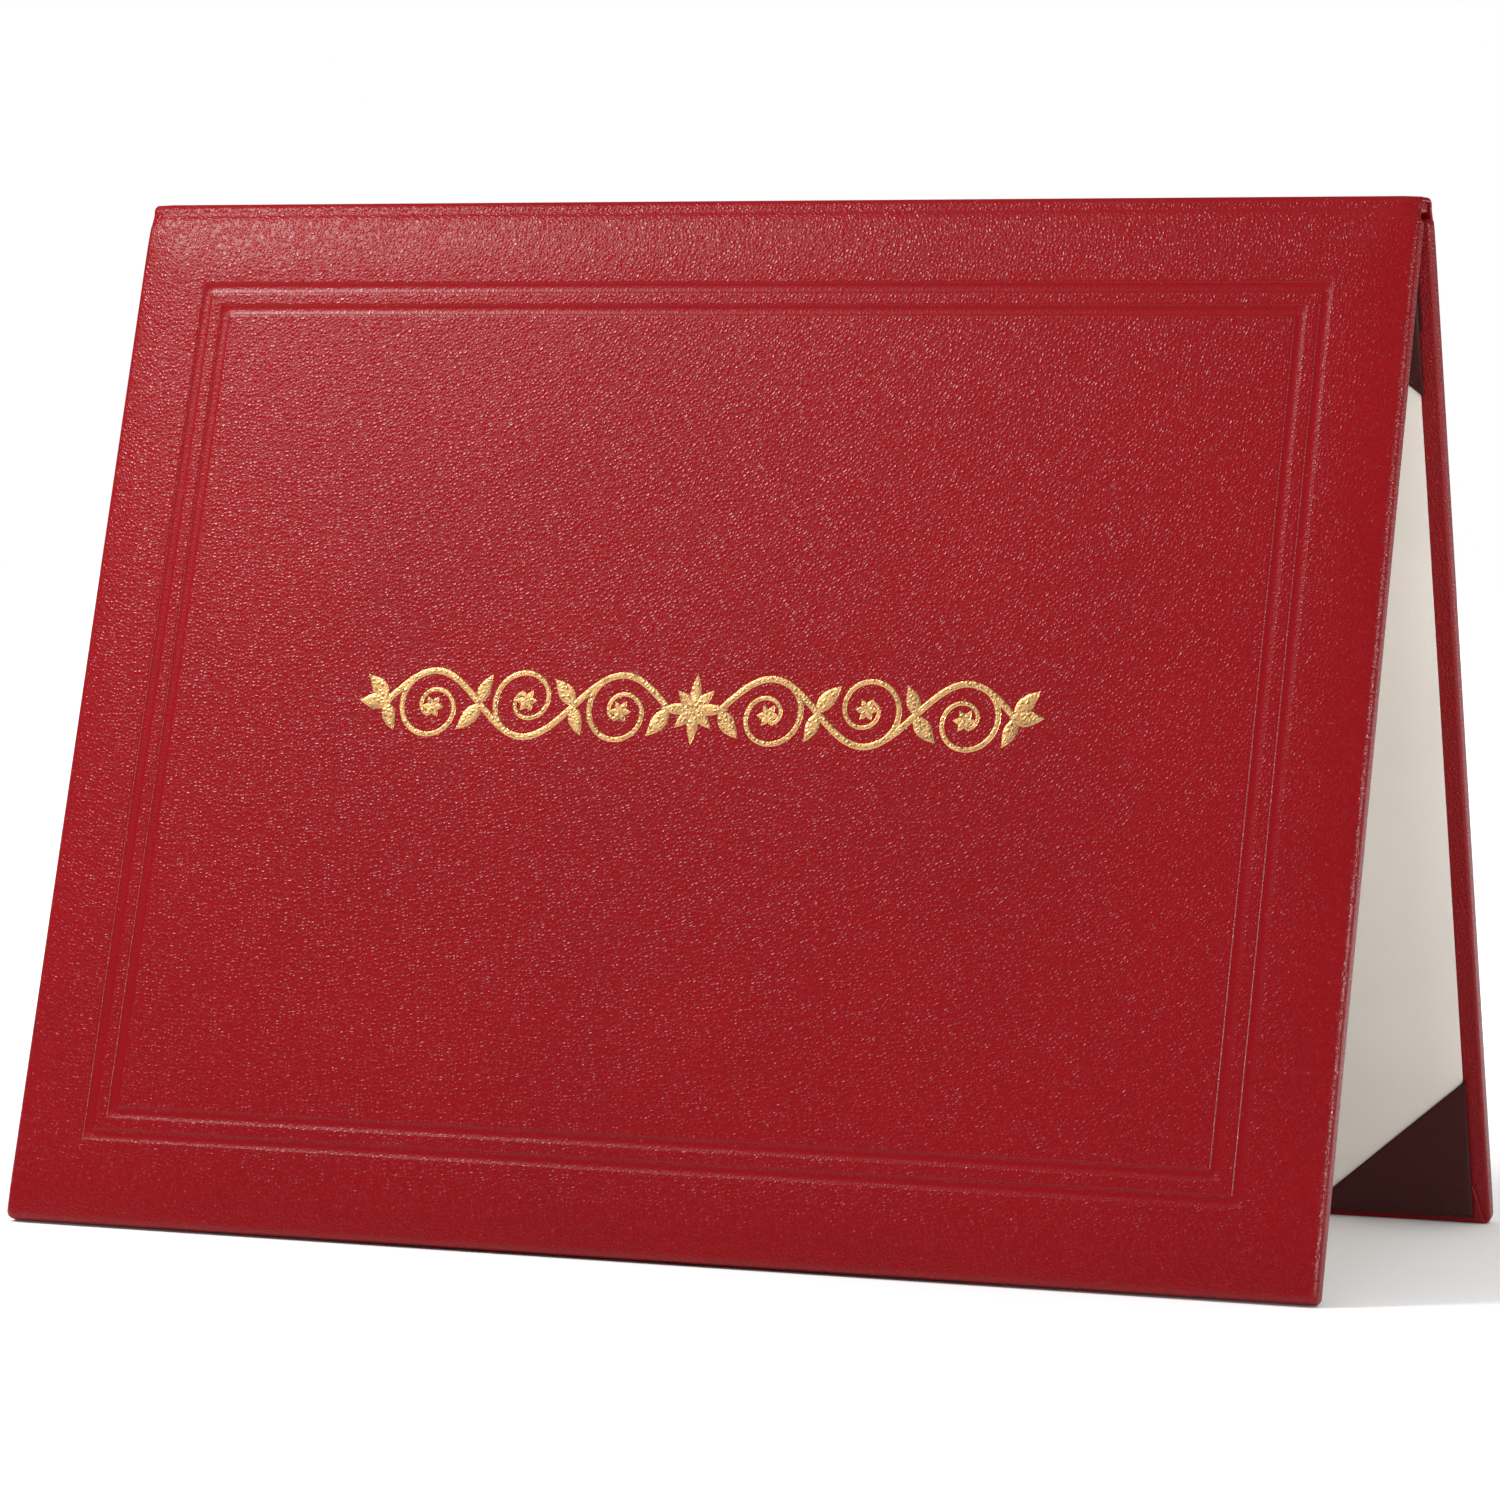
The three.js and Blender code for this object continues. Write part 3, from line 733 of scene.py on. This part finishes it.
def paper_material(name, color):
    """Uncoated cream card with faint fibres."""
    material, tree, shader, coords = new_material(name)
    tone = placed_group(tree, "tone_patches", coords, Patch_scale=30.0)
    darker = tuple(c * 0.95 for c in color)
    fibres = noise_node(tree, coords, 1400.0, 4.0)
    feed(tree, shader, {
        "Base Color": mixed_color(tree, tone.outputs["Tone"], color, darker),
        "Roughness": 0.8,
        "Normal": bump_node(tree, fibres.outputs["Fac"], 0.00004),
    })
    return material


def gilt_material(name, color):
    """Stamped gold foil that still shows the grain of the leather below it."""
    material, tree, shader, coords = new_material(name)
    grain = placed_group(tree, "pebble_grain", coords, Pebbles_per_metre=1050.0)
    tone = placed_group(tree, "tone_patches", coords, Patch_scale=160.0)
    worn = tuple(c * 0.72 for c in color)
    feed(tree, shader, {
        "Base Color": mixed_color(tree, tone.outputs["Tone"], color, worn),
        "Metallic": 1.0,
        "Roughness": math_node(tree, "MULTIPLY_ADD", grain.outputs["Pits"], 0.2, 0.3),
        "Normal": bump_node(tree, grain.outputs["Height"], 0.00006),
    })
    return material


def fibre_material(name, color, scale, height):
    """Plain matt board or foam with a fibrous or cellular surface."""
    material, tree, shader, coords = new_material(name)
    cells = noise_node(tree, coords, scale, 5.0)
    darker = tuple(c * 0.8 for c in color)
    feed(tree, shader, {
        "Base Color": mixed_color(tree, cells.outputs["Fac"], color, darker),
        "Roughness": 0.9,
        "Normal": bump_node(tree, cells.outputs["Fac"], height),
    })
    return material


def add_corner_folds(piece, side):
    """Adds the folded-over ends of the bottom turn-in, which lie over the side turn-ins."""
    length = in_mm(bpy.context.scene.cover_sizes, "length")
    fold = np.array([(half_width() - x, length - v) for x, v in CORNER_FOLD])
    inner = fold[-1] - (CORNER_FOLD_REACH, 0.0)
    levels = [(1.0, 0.0), (0.2, 0.0)]
    levels += [(-0.2 * math.cos(a), 0.5 - 0.5 * math.sin(a)) for a in np.radians((60, 30, 0, -30, -60))]
    levels += [(0.2, 1.0), (1.0, 1.0), (CORNER_FOLD_REACH, 1.0)]
    card_edge = in_mm(bpy.context.scene.inside_sizes, "card_width") / 2
    shell = bmesh.new()
    shell.from_mesh(piece.data)
    for mirror in (-1, 1):
        rows = []
        for inwards, level in levels:
            row = []
            for spot in fold:
                away = inner - spot
                away = away / max(np.linalg.norm(away), 1e-6)
                x, v = spot + away * inwards if inwards < CORNER_FOLD_REACH else (inner[0], spot[1])
                height = CORNER_FOLD_LOW if x < card_edge + CARD_CLEARANCE else CORNER_FOLD_HIGH
                row.append(shell.verts.new(to_row(side, mirror * x, v, -0.02 - height * level)))
            rows.append(row)
        for lower, upper in zip(rows, rows[1:]):
            for i in range(len(fold) - 1):
                quad = (lower[i], lower[i + 1], upper[i + 1], upper[i])
                face = shell.faces.new(quad if side * mirror < 0 else quad[::-1])
                face.smooth = True
    shell.to_mesh(piece.data)
    shell.free()


def leather_cover(side, body, name, replaced, tooled):
    """Padded leather of one cover and its half of the spine, as one piece bent at the fold."""
    panel = Panel(side, tooled)
    points, faces, pressed = panel.shell()
    strip, strip_faces = spine_sheet(panel, len(points))
    piece = new_piece(name, np.concatenate([points, strip]), faces + strip_faces,
                      bpy.data.materials["red_leatherette"])
    grain = piece.data.attributes.new("pressed", "FLOAT", "POINT")
    grain.data.foreach_set("value", np.concatenate([pressed, np.zeros(len(strip))]))
    with_thickness(piece, bpy.context.scene.cover_sizes.leather)
    add_corner_folds(piece, side)
    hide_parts(*replaced)
    blend_at_fold(piece, body)
    return piece


class COVER_OT_materials(bpy.types.Operator):
    """Build the finishes and give the carried-over boards and foam theirs"""

    bl_idname = "diploma_cover.materials"
    bl_label = "Finishes"

    def execute(self, context):
        colors = context.scene.finish_colors
        grain_group()
        patches_group()
        leather_material("red_leatherette", colors.leather, colors.leather_pit_shade, 1200.0, 0.21, 0.000075)
        leather_material("lining_leatherette", colors.lining, colors.lining_pit_shade, 1300.0, 0.45, 0.00004)
        paper_material("cream_card", colors.card)
        gilt_material("gold_foil", colors.gilt)
        boards = fibre_material("grey_board", (0.34, 0.30, 0.25), 900.0, 0.00005)
        padding = fibre_material("padding_foam", (0.80, 0.77, 0.68), 2200.0, 0.0002)
        for node, material in (("front_board", boards), ("back_board", boards),
                               ("front_foam", padding), ("back_foam", padding)):
            finish_node(node, material)
        return {"FINISHED"}


def finish_node(node, material):
    """Gives a carried-over CAD node its finish."""
    mesh = frame["nodes"][node].data
    mesh.materials.clear()
    mesh.materials.append(material)


class COVER_OT_leather(bpy.types.Operator):
    """Make the padded leather of both covers and of the spine"""

    bl_idname = "diploma_cover.leather"
    bl_label = "Padded leather"

    def execute(self, context):
        leather_cover(FRONT, "front_cover", "front_leather", ("front_skin", "spine_skin"), True)
        leather_cover(BACK, "back_cover", "back_leather", ("back_skin",), False)
        spine_ends()
        return {"FINISHED"}


class COVER_OT_lining(bpy.types.Operator):
    """Make the hinge lining of both covers"""

    bl_idname = "diploma_cover.lining"
    bl_label = "Hinge lining"

    # The lining is glued flat down a cover from FOOT, and curves there from the spine's shoulder
    SIDE_INSET = 3.0
    THICKNESS = 0.16
    LEVEL = -0.2
    FOOT = (1.2, -0.1)
    DOWN = (2.0, 3.5, 6.0, 10.0, 15.0, 20.0)

    def execute(self, context):
        for side, body, name, replaced in (
            (FRONT, "front_cover", "front_lining", ("front_hinge_lining", "spine_lining")),
            (BACK, "back_cover", "back_lining", ("back_hinge_lining",)),
        ):
            self.half_lining(side, body, name, replaced)
        return {"FINISHED"}

    def half_lining(self, side, body, name, replaced):
        """One half of the lining, from the middle of the spine to under the card."""
        sizes = bpy.context.scene.inside_sizes
        drop = in_mm(bpy.context.scene.spine_sizes, "lining_drop")
        half = half_width() - self.SIDE_INSET
        section = spine_profile(drop, 5)
        foot, last = off_fold(*self.FOOT), section[-1]
        for share in (0.25, 0.5, 0.75, 1.0):
            section.append((last[0] + (foot[0] - last[0]) * share ** 2,
                            last[1] + (foot[1] - last[1]) * share))
        section += [off_fold(v, self.LEVEL) for v in (*self.DOWN, in_mm(sizes, "lining_reach"))]
        xs = stations(-half, half, (), 6.0)
        points = [(x * MM, side * (FOLD[1] + y * MM), FOLD[2] + z * MM)
                  for x in xs for y, z in section]
        faces = grid_faces(len(xs), len(section), flip=side < 0)
        piece = new_piece(name, points, faces, bpy.data.materials["lining_leatherette"])
        with_thickness(piece, self.THICKNESS * MM)
        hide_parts(*replaced)
        blend_at_fold(piece, body)


def paper_sheet(name, side, body, thickness, replaced):
    """Flat sheet inside a cover, with softened edges."""
    sizes = bpy.context.scene.inside_sizes
    half = in_mm(sizes, "card_width") / 2
    bottom = in_mm(bpy.context.scene.cover_sizes, "length") - in_mm(sizes, "card_margin")
    top = bottom - in_mm(sizes, "card_height")
    gap = in_mm(sizes, "margin")
    step, soft, rim_width = 9.0, 0.08, 0.3
    edge = (soft, rim_width)
    xs = stations(-half, half, [s * (half - e) for s in (-1, 1) for e in edge], step)
    vs = stations(top, bottom, [top + e for e in edge] + [bottom - e for e in edge], step)
    x, v = np.meshgrid(xs, vs)
    inset = np.minimum(half - np.abs(x), np.minimum(v - top, bottom - v))
    rim = soft * (1 - smooth(inset / rim_width))
    flip = side > 0
    columns, rows = len(xs), len(vs)
    under = rows * columns
    upper = to_row(side, x, v, -gap - thickness + rim).reshape(-1, 3)
    lower = to_row(side, x, v, -gap).reshape(-1, 3)
    faces = grid_faces(rows, columns, flip=flip)
    faces += grid_faces(rows, columns, under, flip=not flip)
    loop = [row * columns + column for row, column in border_loop(rows, columns)]
    faces += loop_faces(loop, [place + under for place in loop], flip)
    piece = new_piece(name, np.concatenate([upper, lower]), faces, bpy.data.materials["cream_card"])
    piece.data.set_sharp_from_angle(angle=PAPER_SHARP)
    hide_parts(*replaced)
    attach(piece, body)
    return piece


class COVER_OT_papers(bpy.types.Operator):
    """Make the card of the back cover and the liner of the front cover"""

    bl_idname = "diploma_cover.papers"
    bl_label = "Card and liner"

    def execute(self, context):
        sizes = context.scene.inside_sizes
        paper_sheet("card", BACK, "back_cover", in_mm(sizes, "card"), ("back_card",))
        paper_sheet("liner", FRONT, "front_cover", in_mm(sizes, "liner"), ("front_liner",))
        return {"FINISHED"}


class COVER_OT_pockets(bpy.types.Operator):
    """Make the four cloth corner pockets that hold the card"""

    bl_idname = "diploma_cover.pockets"
    bl_label = "Corner pockets"

    ALONG = 24
    DOWN = (0.1, 0.25, 0.4, 0.55, 0.7, 0.85, 0.95, 0.99)
    BULGE = 0.18
    EDGE_DROP = 0.05
    # Drops of the wrap over the card's edges below the pocket's face
    WRAP = (0.2, 0.7)
    # Most of a narrow pocket's depth that its hem may take
    HEM_SHARE = 0.9

    def execute(self, context):
        for across, across_name in ((-1, "left"), (1, "right")):
            for down, down_name in ((-1, "top"), (1, "bottom")):
                self.pocket(across, down, f"{down_name}_{across_name}")
        return {"FINISHED"}

    def pocket(self, across, down, place):
        """Triangular pocket, hemmed along its open edge and wrapped over the card's edges."""
        sizes = bpy.context.scene.inside_sizes
        half = in_mm(sizes, "card_width") / 2
        bottom = in_mm(bpy.context.scene.cover_sizes, "length") - in_mm(sizes, "card_margin")
        edge_v = bottom if down > 0 else bottom - in_mm(sizes, "card_height")
        gap, cloth = in_mm(sizes, "margin"), in_mm(sizes, "pocket")
        face = gap + in_mm(sizes, "card") + gap + cloth
        width, height = in_mm(sizes, "pocket_width"), in_mm(sizes, "pocket_height")
        out = gap + cloth
        legs = np.array([(out, -height), (out, out), (-width, out)])
        hem, roll = in_mm(sizes, "hem"), cloth * 0.95
        low = face - 2 * roll
        rows = [(hem, low), (hem * 0.5, low), (roll * 1.6, low)]
        for angle in np.radians((-60, -30, 0, 30, 60)):
            rows.append((roll * (1 - math.cos(angle)), face - roll * (1 - math.sin(angle))))
        rows += [(roll * 1.6, face), (hem * 0.5, face), (hem, face)]
        points = []
        places = np.linspace(0, 1, 2 * self.ALONG + 1)
        edge = [legs[0] + (legs[2] - legs[0]) * s for s in places]
        ends = [legs[0] + (legs[1] - legs[0]) * 2 * s if s <= 0.5
                else legs[1] + (legs[2] - legs[1]) * (2 * s - 1) for s in places]
        for inwards, level in rows:
            for start, end in zip(edge, ends):
                depth = max(np.linalg.norm(end - start), 1e-6)
                spot = start + (end - start) * min(inwards / depth, self.HEM_SHARE)
                points.append((*spot, level))
        for share in self.DOWN:
            drop = self.EDGE_DROP if share == self.DOWN[-1] else 0.0
            for s, start, end in zip(places, edge, ends):
                depth = max(np.linalg.norm(end - start), 1e-6)
                held = min(hem / depth, self.HEM_SHARE)
                bulge = self.BULGE * math.sin(math.pi * share) * math.sin(math.pi * s)
                spot = start + (end - start) * (held + (1 - held) * share)
                points.append((*spot, face + bulge - drop))
        for level in (*(face - wrap for wrap in self.WRAP), gap + 0.02):
            points.extend((*end, level) for end in ends)
        flat = np.array(points)
        placed = to_row(BACK, across * (half + flat[:, 0]), edge_v + down * flat[:, 1], -flat[:, 2])
        columns = 2 * self.ALONG + 1
        faces = grid_faces(len(placed) // columns, columns, flip=across * down < 0)
        piece = new_piece(f"pocket_{place}_cloth", placed, faces,
                          bpy.data.materials["lining_leatherette"])
        with_thickness(piece, roll * MM)
        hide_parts(f"pocket_{place}")
        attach(piece, "back_cover")


class Scroll:
    """Lines and widths of the gilt vine scroll, in millimetres from its middle, y upwards."""

    STEM_STEPS = 24
    TENDRIL_STEPS = 56
    LEAF_STEPS = 14

    def __init__(self):
        sizes = bpy.context.scene.gilt_sizes
        self.width, self.height = in_mm(sizes, "width"), in_mm(sizes, "height")
        self.scrolls, self.petals = sizes.scrolls, sizes.petals
        self.stem, self.tendril = in_mm(sizes, "stem"), in_mm(sizes, "tendril")
        self.turn, self.flower = sizes.tendril_turn, in_mm(sizes, "flower")
        self.petal = in_mm(sizes, "petal")
        self.leaf_length, self.leaf_width = in_mm(sizes, "leaf_length"), in_mm(sizes, "leaf_width")
        self.start = self.height * 0.38
        self.step = (self.width / 2 - self.leaf_length * 0.85 - self.start) / self.scrolls
        self.lines = []
        self.draw()

    def add(self, points, widths, level, mirrored=True):
        """One line with its widths and its level over the others, and its mirror image."""
        self.lines.append((points, widths, level))
        if mirrored:
            self.lines.append(([(-x, y) for x, y in points], widths, level))

    def stem_point(self, scrolls):
        """Point of the wavy stem, counted in scrolls from its start."""
        height = (self.height - self.stem) / 2 * math.sin(math.pi * scrolls)
        return self.start + scrolls * self.step, height

    def add_leaf(self, root, degrees, length, width, bend=0.0, level=1, mirrored=True):
        """Pointed leaf from its root, its tip bent sideways by a share of its length."""
        angle = math.radians(degrees)
        points, widths = [], []
        for share in np.linspace(0, 1, self.LEAF_STEPS + 1):
            along, aside = share * length, bend * length * share ** 2
            points.append((root[0] + along * math.cos(angle) - aside * math.sin(angle),
                           root[1] + along * math.sin(angle) + aside * math.cos(angle)))
            widths.append(max(0.06, width * math.sin(math.pi * share ** 0.8)))
        self.add(points, widths, level, mirrored)

    def add_tendril(self, scroll):
        """Spiral that leaves the stem beyond a crest and winds in to a flower."""
        crest = 1 if scroll % 2 == 0 else -1
        x, y = self.stem_point(scroll + 0.5)[0], -crest * 0.06 * self.height
        root = self.stem_point(scroll + 0.7)
        radius = math.hypot(root[0] - x, root[1] - y)
        angle = math.atan2(crest * (root[1] - y), root[0] - x)
        points, widths = [], []
        for share in np.linspace(0, 1, self.TENDRIL_STEPS + 1):
            turned = angle - self.turn * share
            reach = radius + (self.flower * 0.75 - radius) * share
            points.append((x + reach * math.cos(turned), y + crest * reach * math.sin(turned)))
            widths.append(self.tendril * (1.2 - 0.45 * share))
        self.add(points, widths, 1)
        for petal in range(6):
            self.add_leaf((x, y), petal * 60, self.flower, self.flower * 0.55, level=2 + petal % 3)

    def draw(self):
        """Draws the rosette, the stem, the tendrils and the leaves."""
        for petal in range(self.petals):
            length = self.height / 2 * (1 if petal % 2 == 0 else 0.75)
            self.add_leaf((0, 0), petal / self.petals * 360, length, self.petal,
                          level=3 + petal % 2, mirrored=False)
        steps = np.linspace(0, self.scrolls, self.scrolls * self.STEM_STEPS + 1)
        self.add([self.stem_point(s) for s in steps], [self.stem] * len(steps), 0)
        for scroll in range(self.scrolls):
            self.add_tendril(scroll)
            up = 1 if scroll % 2 == 0 else -1
            root = self.stem_point(scroll + 1)
            self.add_leaf(root, up * 60, self.leaf_length, self.leaf_width, -0.18 * up, 2)
            self.add_leaf(root, -up * 100, self.leaf_length * 0.9, self.leaf_width * 0.85,
                          -0.18 * up, 3)
        self.add_leaf(self.stem_point(0), -62, self.leaf_length, self.leaf_width, 0.15, 2)
        end = (self.width / 2 - self.leaf_length, 0)
        self.add_leaf(end, 0, self.leaf_length, self.leaf_width, level=4)


class COVER_OT_gilding(bpy.types.Operator):
    """Stamp the gilt scroll on the front"""

    bl_idname = "diploma_cover.gilding"
    bl_label = "Gilt scroll"

    LEVEL = 0.012
    PROFILE_POINTS = 9

    def execute(self, context):
        piece = self.line_mesh(Scroll().lines)
        tree = self.foil_tree()
        ribbon = piece.modifiers.new("Foil", "NODES")
        ribbon.node_group = tree
        sizes = context.scene.gilt_sizes
        for item in tree.interface.items_tree:
            if item.name == "Rise":
                ribbon[item.identifier] = in_mm(sizes, "foil")
        apply_modifiers(piece)
        self.lay_on_leather(piece, in_mm(sizes, "from_fold"))
        with_thickness(piece, 0.04 * MM)
        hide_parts("gilt_ornament")
        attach(piece, "front_cover")
        return {"FINISHED"}

    def line_mesh(self, lines):
        """The scroll's lines as loose edges, with their widths and levels as attributes."""
        points, edges, halves, levels = [], [], [], []
        for line, widths, level in lines:
            first = len(points)
            points.extend((x, y, 0.0) for x, y in line)
            edges.extend((first + i, first + i + 1) for i in range(len(line) - 1))
            halves.extend(width / 2 for width in widths)
            levels.extend([level * self.LEVEL] * len(line))
        mesh = bpy.data.meshes.new("gilt_scroll")
        mesh.from_pydata(points, edges, [])
        for name, values in (("half_width", halves), ("level", levels)):
            mesh.attributes.new(name, "FLOAT", "POINT").data.foreach_set("value", values)
        piece = bpy.data.objects.new("gilt_scroll", mesh)
        bpy.context.scene.collection.objects.link(piece)
        return piece

    def foil_tree(self):
        """Ribbons of foil along the lines, rounded down at their edges."""
        tree = bpy.data.node_groups.new("foil_ribbons", "GeometryNodeTree")
        face = tree.interface
        face.new_socket("Geometry", in_out="INPUT", socket_type="NodeSocketGeometry")
        face.new_socket("Rise", in_out="INPUT", socket_type="NodeSocketFloat")
        face.new_socket("Geometry", in_out="OUTPUT", socket_type="NodeSocketGeometry")
        given, out = tree.nodes.new("NodeGroupInput"), tree.nodes.new("NodeGroupOutput")
        curves = add_node(tree, "GeometryNodeMeshToCurve", {"Mesh": given.outputs["Geometry"]})
        half, across, level = (
            add_node(tree, "GeometryNodeInputNamedAttribute", {"Name": name}, data_type="FLOAT")
            for name in ("half_width", "across", "level"))
        profile = add_node(tree, "GeometryNodeCurvePrimitiveLine",
                           {"Start": (-1, 0, 0), "End": (1, 0, 0)})
        fine = add_node(tree, "GeometryNodeResampleCurve",
                        {"Curve": profile.outputs["Curve"], "Count": self.PROFILE_POINTS})
        where = add_node(tree, "GeometryNodeInputPosition")
        split = add_node(tree, "ShaderNodeSeparateXYZ", {"Vector": where.outputs["Position"]})
        feeds = {"Name": "across", "Geometry": fine.outputs["Curve"], "Value": split.outputs["X"]}
        store = add_node(tree, "GeometryNodeStoreNamedAttribute", feeds, data_type="FLOAT")
        ribbons = add_node(tree, "GeometryNodeCurveToMesh",
                           {"Curve": curves.outputs["Curve"], "Scale": half.outputs["Attribute"],
                            "Profile Curve": store.outputs["Geometry"]})
        power = math_node(tree, "POWER", math_node(tree, "ABSOLUTE", across.outputs["Attribute"]), 5.0)
        fall = math_node(tree, "SUBTRACT", 1.0, math_node(tree, "MULTIPLY", power, 1.3))
        rise = math_node(tree, "MULTIPLY", fall, given.outputs["Rise"])
        lifted = math_node(tree, "ADD", rise, level.outputs["Attribute"])
        offset = add_node(tree, "ShaderNodeCombineXYZ", {"Z": lifted})
        place = add_node(tree, "GeometryNodeSetPosition",
                         {"Geometry": ribbons.outputs["Mesh"], "Offset": offset.outputs["Vector"]})
        realize = add_node(tree, "GeometryNodeRealizeInstances", {"Geometry": place.outputs["Geometry"]})
        finish = add_node(tree, "GeometryNodeSetMaterial",
                          {"Geometry": realize.outputs["Geometry"],
                           "Material": bpy.data.materials["gold_foil"]})
        tree.links.new(finish.outputs["Geometry"], out.inputs["Geometry"])
        return tree

    def lay_on_leather(self, piece, from_fold):
        """Moves the flat foil onto the front's padded face."""
        mesh = piece.data
        flat = np.empty(len(mesh.vertices) * 3)
        mesh.vertices.foreach_get("co", flat)
        flat = flat.reshape(-1, 3)
        x, v = flat[:, 0], from_fold - flat[:, 1]
        placed = to_row(FRONT, x, v, Panel(FRONT, True).height(x, v) + flat[:, 2])
        mesh.vertices.foreach_set("co", placed.ravel())
        mesh.update()


class COVER_OT_stage(bpy.types.Operator):
    """Set the pale floor, the studio lights and the camera"""

    bl_idname = "diploma_cover.stage"
    bl_label = "Stage"

    # The photograph's view, worked out from the cover's edges and tooled lines
    AZIMUTH = 21.55
    ELEVATION = 2.91
    ROLL = 0.594
    DISTANCE = 1.2353
    TARGET = (-0.00276, 0.0, 0.10257)
    FOCAL_PIXELS = 5705.1
    PICTURE_PIXELS = 1500.0
    SENSOR_MM = 36.0

    FLOOR_HALF = 6.0
    FLOOR_GLOW = (0.6, 0.6, 0.6)
    ROOM = (0.12, 0.12, 0.12)
    # Each area light's place, size in metres and power in watts
    LIGHTS = {
        "key": ((-0.43, -0.31, 0.63), 0.14, 3.9),
        "fill": ((1.1, -0.75, 0.3), 0.5, 3.3),
        "edge": ((1.1, -0.45, 0.35), 0.06, 9.0),
    }
    AIM = (0, 0, 0.11)

    def execute(self, context):
        self.floor()
        self.lights()
        self.camera()
        context.scene.view_settings.view_transform = "Standard"
        return {"FINISHED"}

    def floor(self):
        """Pale floor under the object, which glows a little away from it."""
        size = self.FLOOR_HALF
        corners = [(-size, -size, 0), (size, -size, 0), (size, size, 0), (-size, size, 0)]
        material, tree, shader, coords = new_material("pale_floor")
        away = add_node(tree, "ShaderNodeVectorMath", {0: coords}, operation="LENGTH")
        glow = ramp_node(tree, away.outputs["Value"], 0.05, 0.6)
        feed(tree, shader, {
            "Base Color": (0.95, 0.95, 0.95, 1),
            "Roughness": 0.9,
            "Emission Strength": 1.0,
            "Emission Color": mixed_color(tree, glow, (0, 0, 0), self.FLOOR_GLOW),
        })
        new_piece("floor", corners, [(0, 1, 2, 3)], material)

    def lights(self):
        """Small key from the upper left, wide fill, edge light for the gloss only, soft overhead."""
        world = bpy.data.worlds.new("studio")
        bpy.context.scene.world = world
        world.use_nodes = True
        tree = world.node_tree
        room = tree.nodes["Background"]
        path = add_node(tree, "ShaderNodeLightPath")
        seen = mixed_color(tree, path.outputs["Is Camera Ray"], self.ROOM, (1, 1, 1))
        feed(tree, room, {"Strength": 1.0, "Color": seen})
        for name, (place, size, power) in self.LIGHTS.items():
            lamp = self.lamp(name, "AREA", power)
            lamp.data.size = size
            lamp.location = place
            lamp.visible_diffuse = name != "edge"
            aim = Vector(self.AIM) - Vector(place)
            lamp.rotation_euler = aim.to_track_quat("-Z", "Y").to_euler()
        overhead = self.lamp("overhead", "SUN", 2.0)
        overhead.data.angle = math.radians(85)
        overhead.visible_glossy = False

    def lamp(self, name, kind, power):
        """Light of a kind and power, in the scene."""
        light = bpy.data.lights.new(name, kind)
        light.energy = power
        lamp = bpy.data.objects.new(name, light)
        bpy.context.scene.collection.objects.link(lamp)
        return lamp

    def camera(self):
        """Camera at the photograph's viewing angle."""
        azimuth, elevation = math.radians(self.AZIMUTH), math.radians(self.ELEVATION)
        back = Vector((math.sin(azimuth) * math.cos(elevation),
                       -math.cos(azimuth) * math.cos(elevation), math.sin(elevation)))
        right = Vector((math.cos(azimuth), math.sin(azimuth), 0))
        up = back.cross(right)
        turn = math.radians(self.ROLL)
        turned_right = right * math.cos(turn) + up * math.sin(turn)
        turned_up = up * math.cos(turn) - right * math.sin(turn)
        data = bpy.data.cameras.new("camera")
        data.sensor_width = self.SENSOR_MM
        data.lens = self.FOCAL_PIXELS / self.PICTURE_PIXELS * self.SENSOR_MM
        camera = bpy.data.objects.new("camera", data)
        axes = Matrix((turned_right, turned_up, back)).transposed().to_4x4()
        camera.matrix_world = Matrix.Translation(Vector(self.TARGET) + back * self.DISTANCE) @ axes
        bpy.context.scene.collection.objects.link(camera)
        bpy.context.scene.camera = camera


OPERATORS = (
    COVER_OT_materials,
    COVER_OT_leather,
    COVER_OT_lining,
    COVER_OT_papers,
    COVER_OT_pockets,
    COVER_OT_gilding,
    COVER_OT_stage,
)
SETTINGS = {
    "cover_sizes": CoverSizes,
    "tooling_sizes": ToolingSizes,
    "inside_sizes": InsideSizes,
    "spine_sizes": SpineSizes,
    "gilt_sizes": GiltSizes,
    "finish_colors": FinishColors,
}


class COVER_PT_panel(bpy.types.Panel):
    """Lists the steps that make the cover"""

    bl_idname = "COVER_PT_panel"
    bl_label = "Diploma cover"
    bl_space_type = "VIEW_3D"
    bl_region_type = "UI"
    bl_category = "Diploma cover"

    def draw(self, context):
        for operator in OPERATORS:
            self.layout.operator(operator.bl_idname)


def register():
    """Registers the settings, the operators and the panel."""
    for name, group in SETTINGS.items():
        bpy.utils.register_class(group)
        setattr(bpy.types.Scene, name, bpy.props.PointerProperty(type=group))
    for operator in OPERATORS:
        bpy.utils.register_class(operator)
    bpy.utils.register_class(COVER_PT_panel)


def unregister():
    """Takes everything out again in the opposite order."""
    bpy.utils.unregister_class(COVER_PT_panel)
    for operator in reversed(OPERATORS):
        bpy.utils.unregister_class(operator)
    for name, group in reversed(SETTINGS.items()):
        delattr(bpy.types.Scene, name)
        bpy.utils.unregister_class(group)


def main():
    """Makes the cover and its stage."""
    register()
    bpy.ops.diploma_cover.materials()
    bpy.ops.diploma_cover.leather()
    bpy.ops.diploma_cover.lining()
    bpy.ops.diploma_cover.papers()
    bpy.ops.diploma_cover.pockets()
    bpy.ops.diploma_cover.gilding()
    bpy.ops.diploma_cover.stage()


if __name__ == "__main__":
    main()
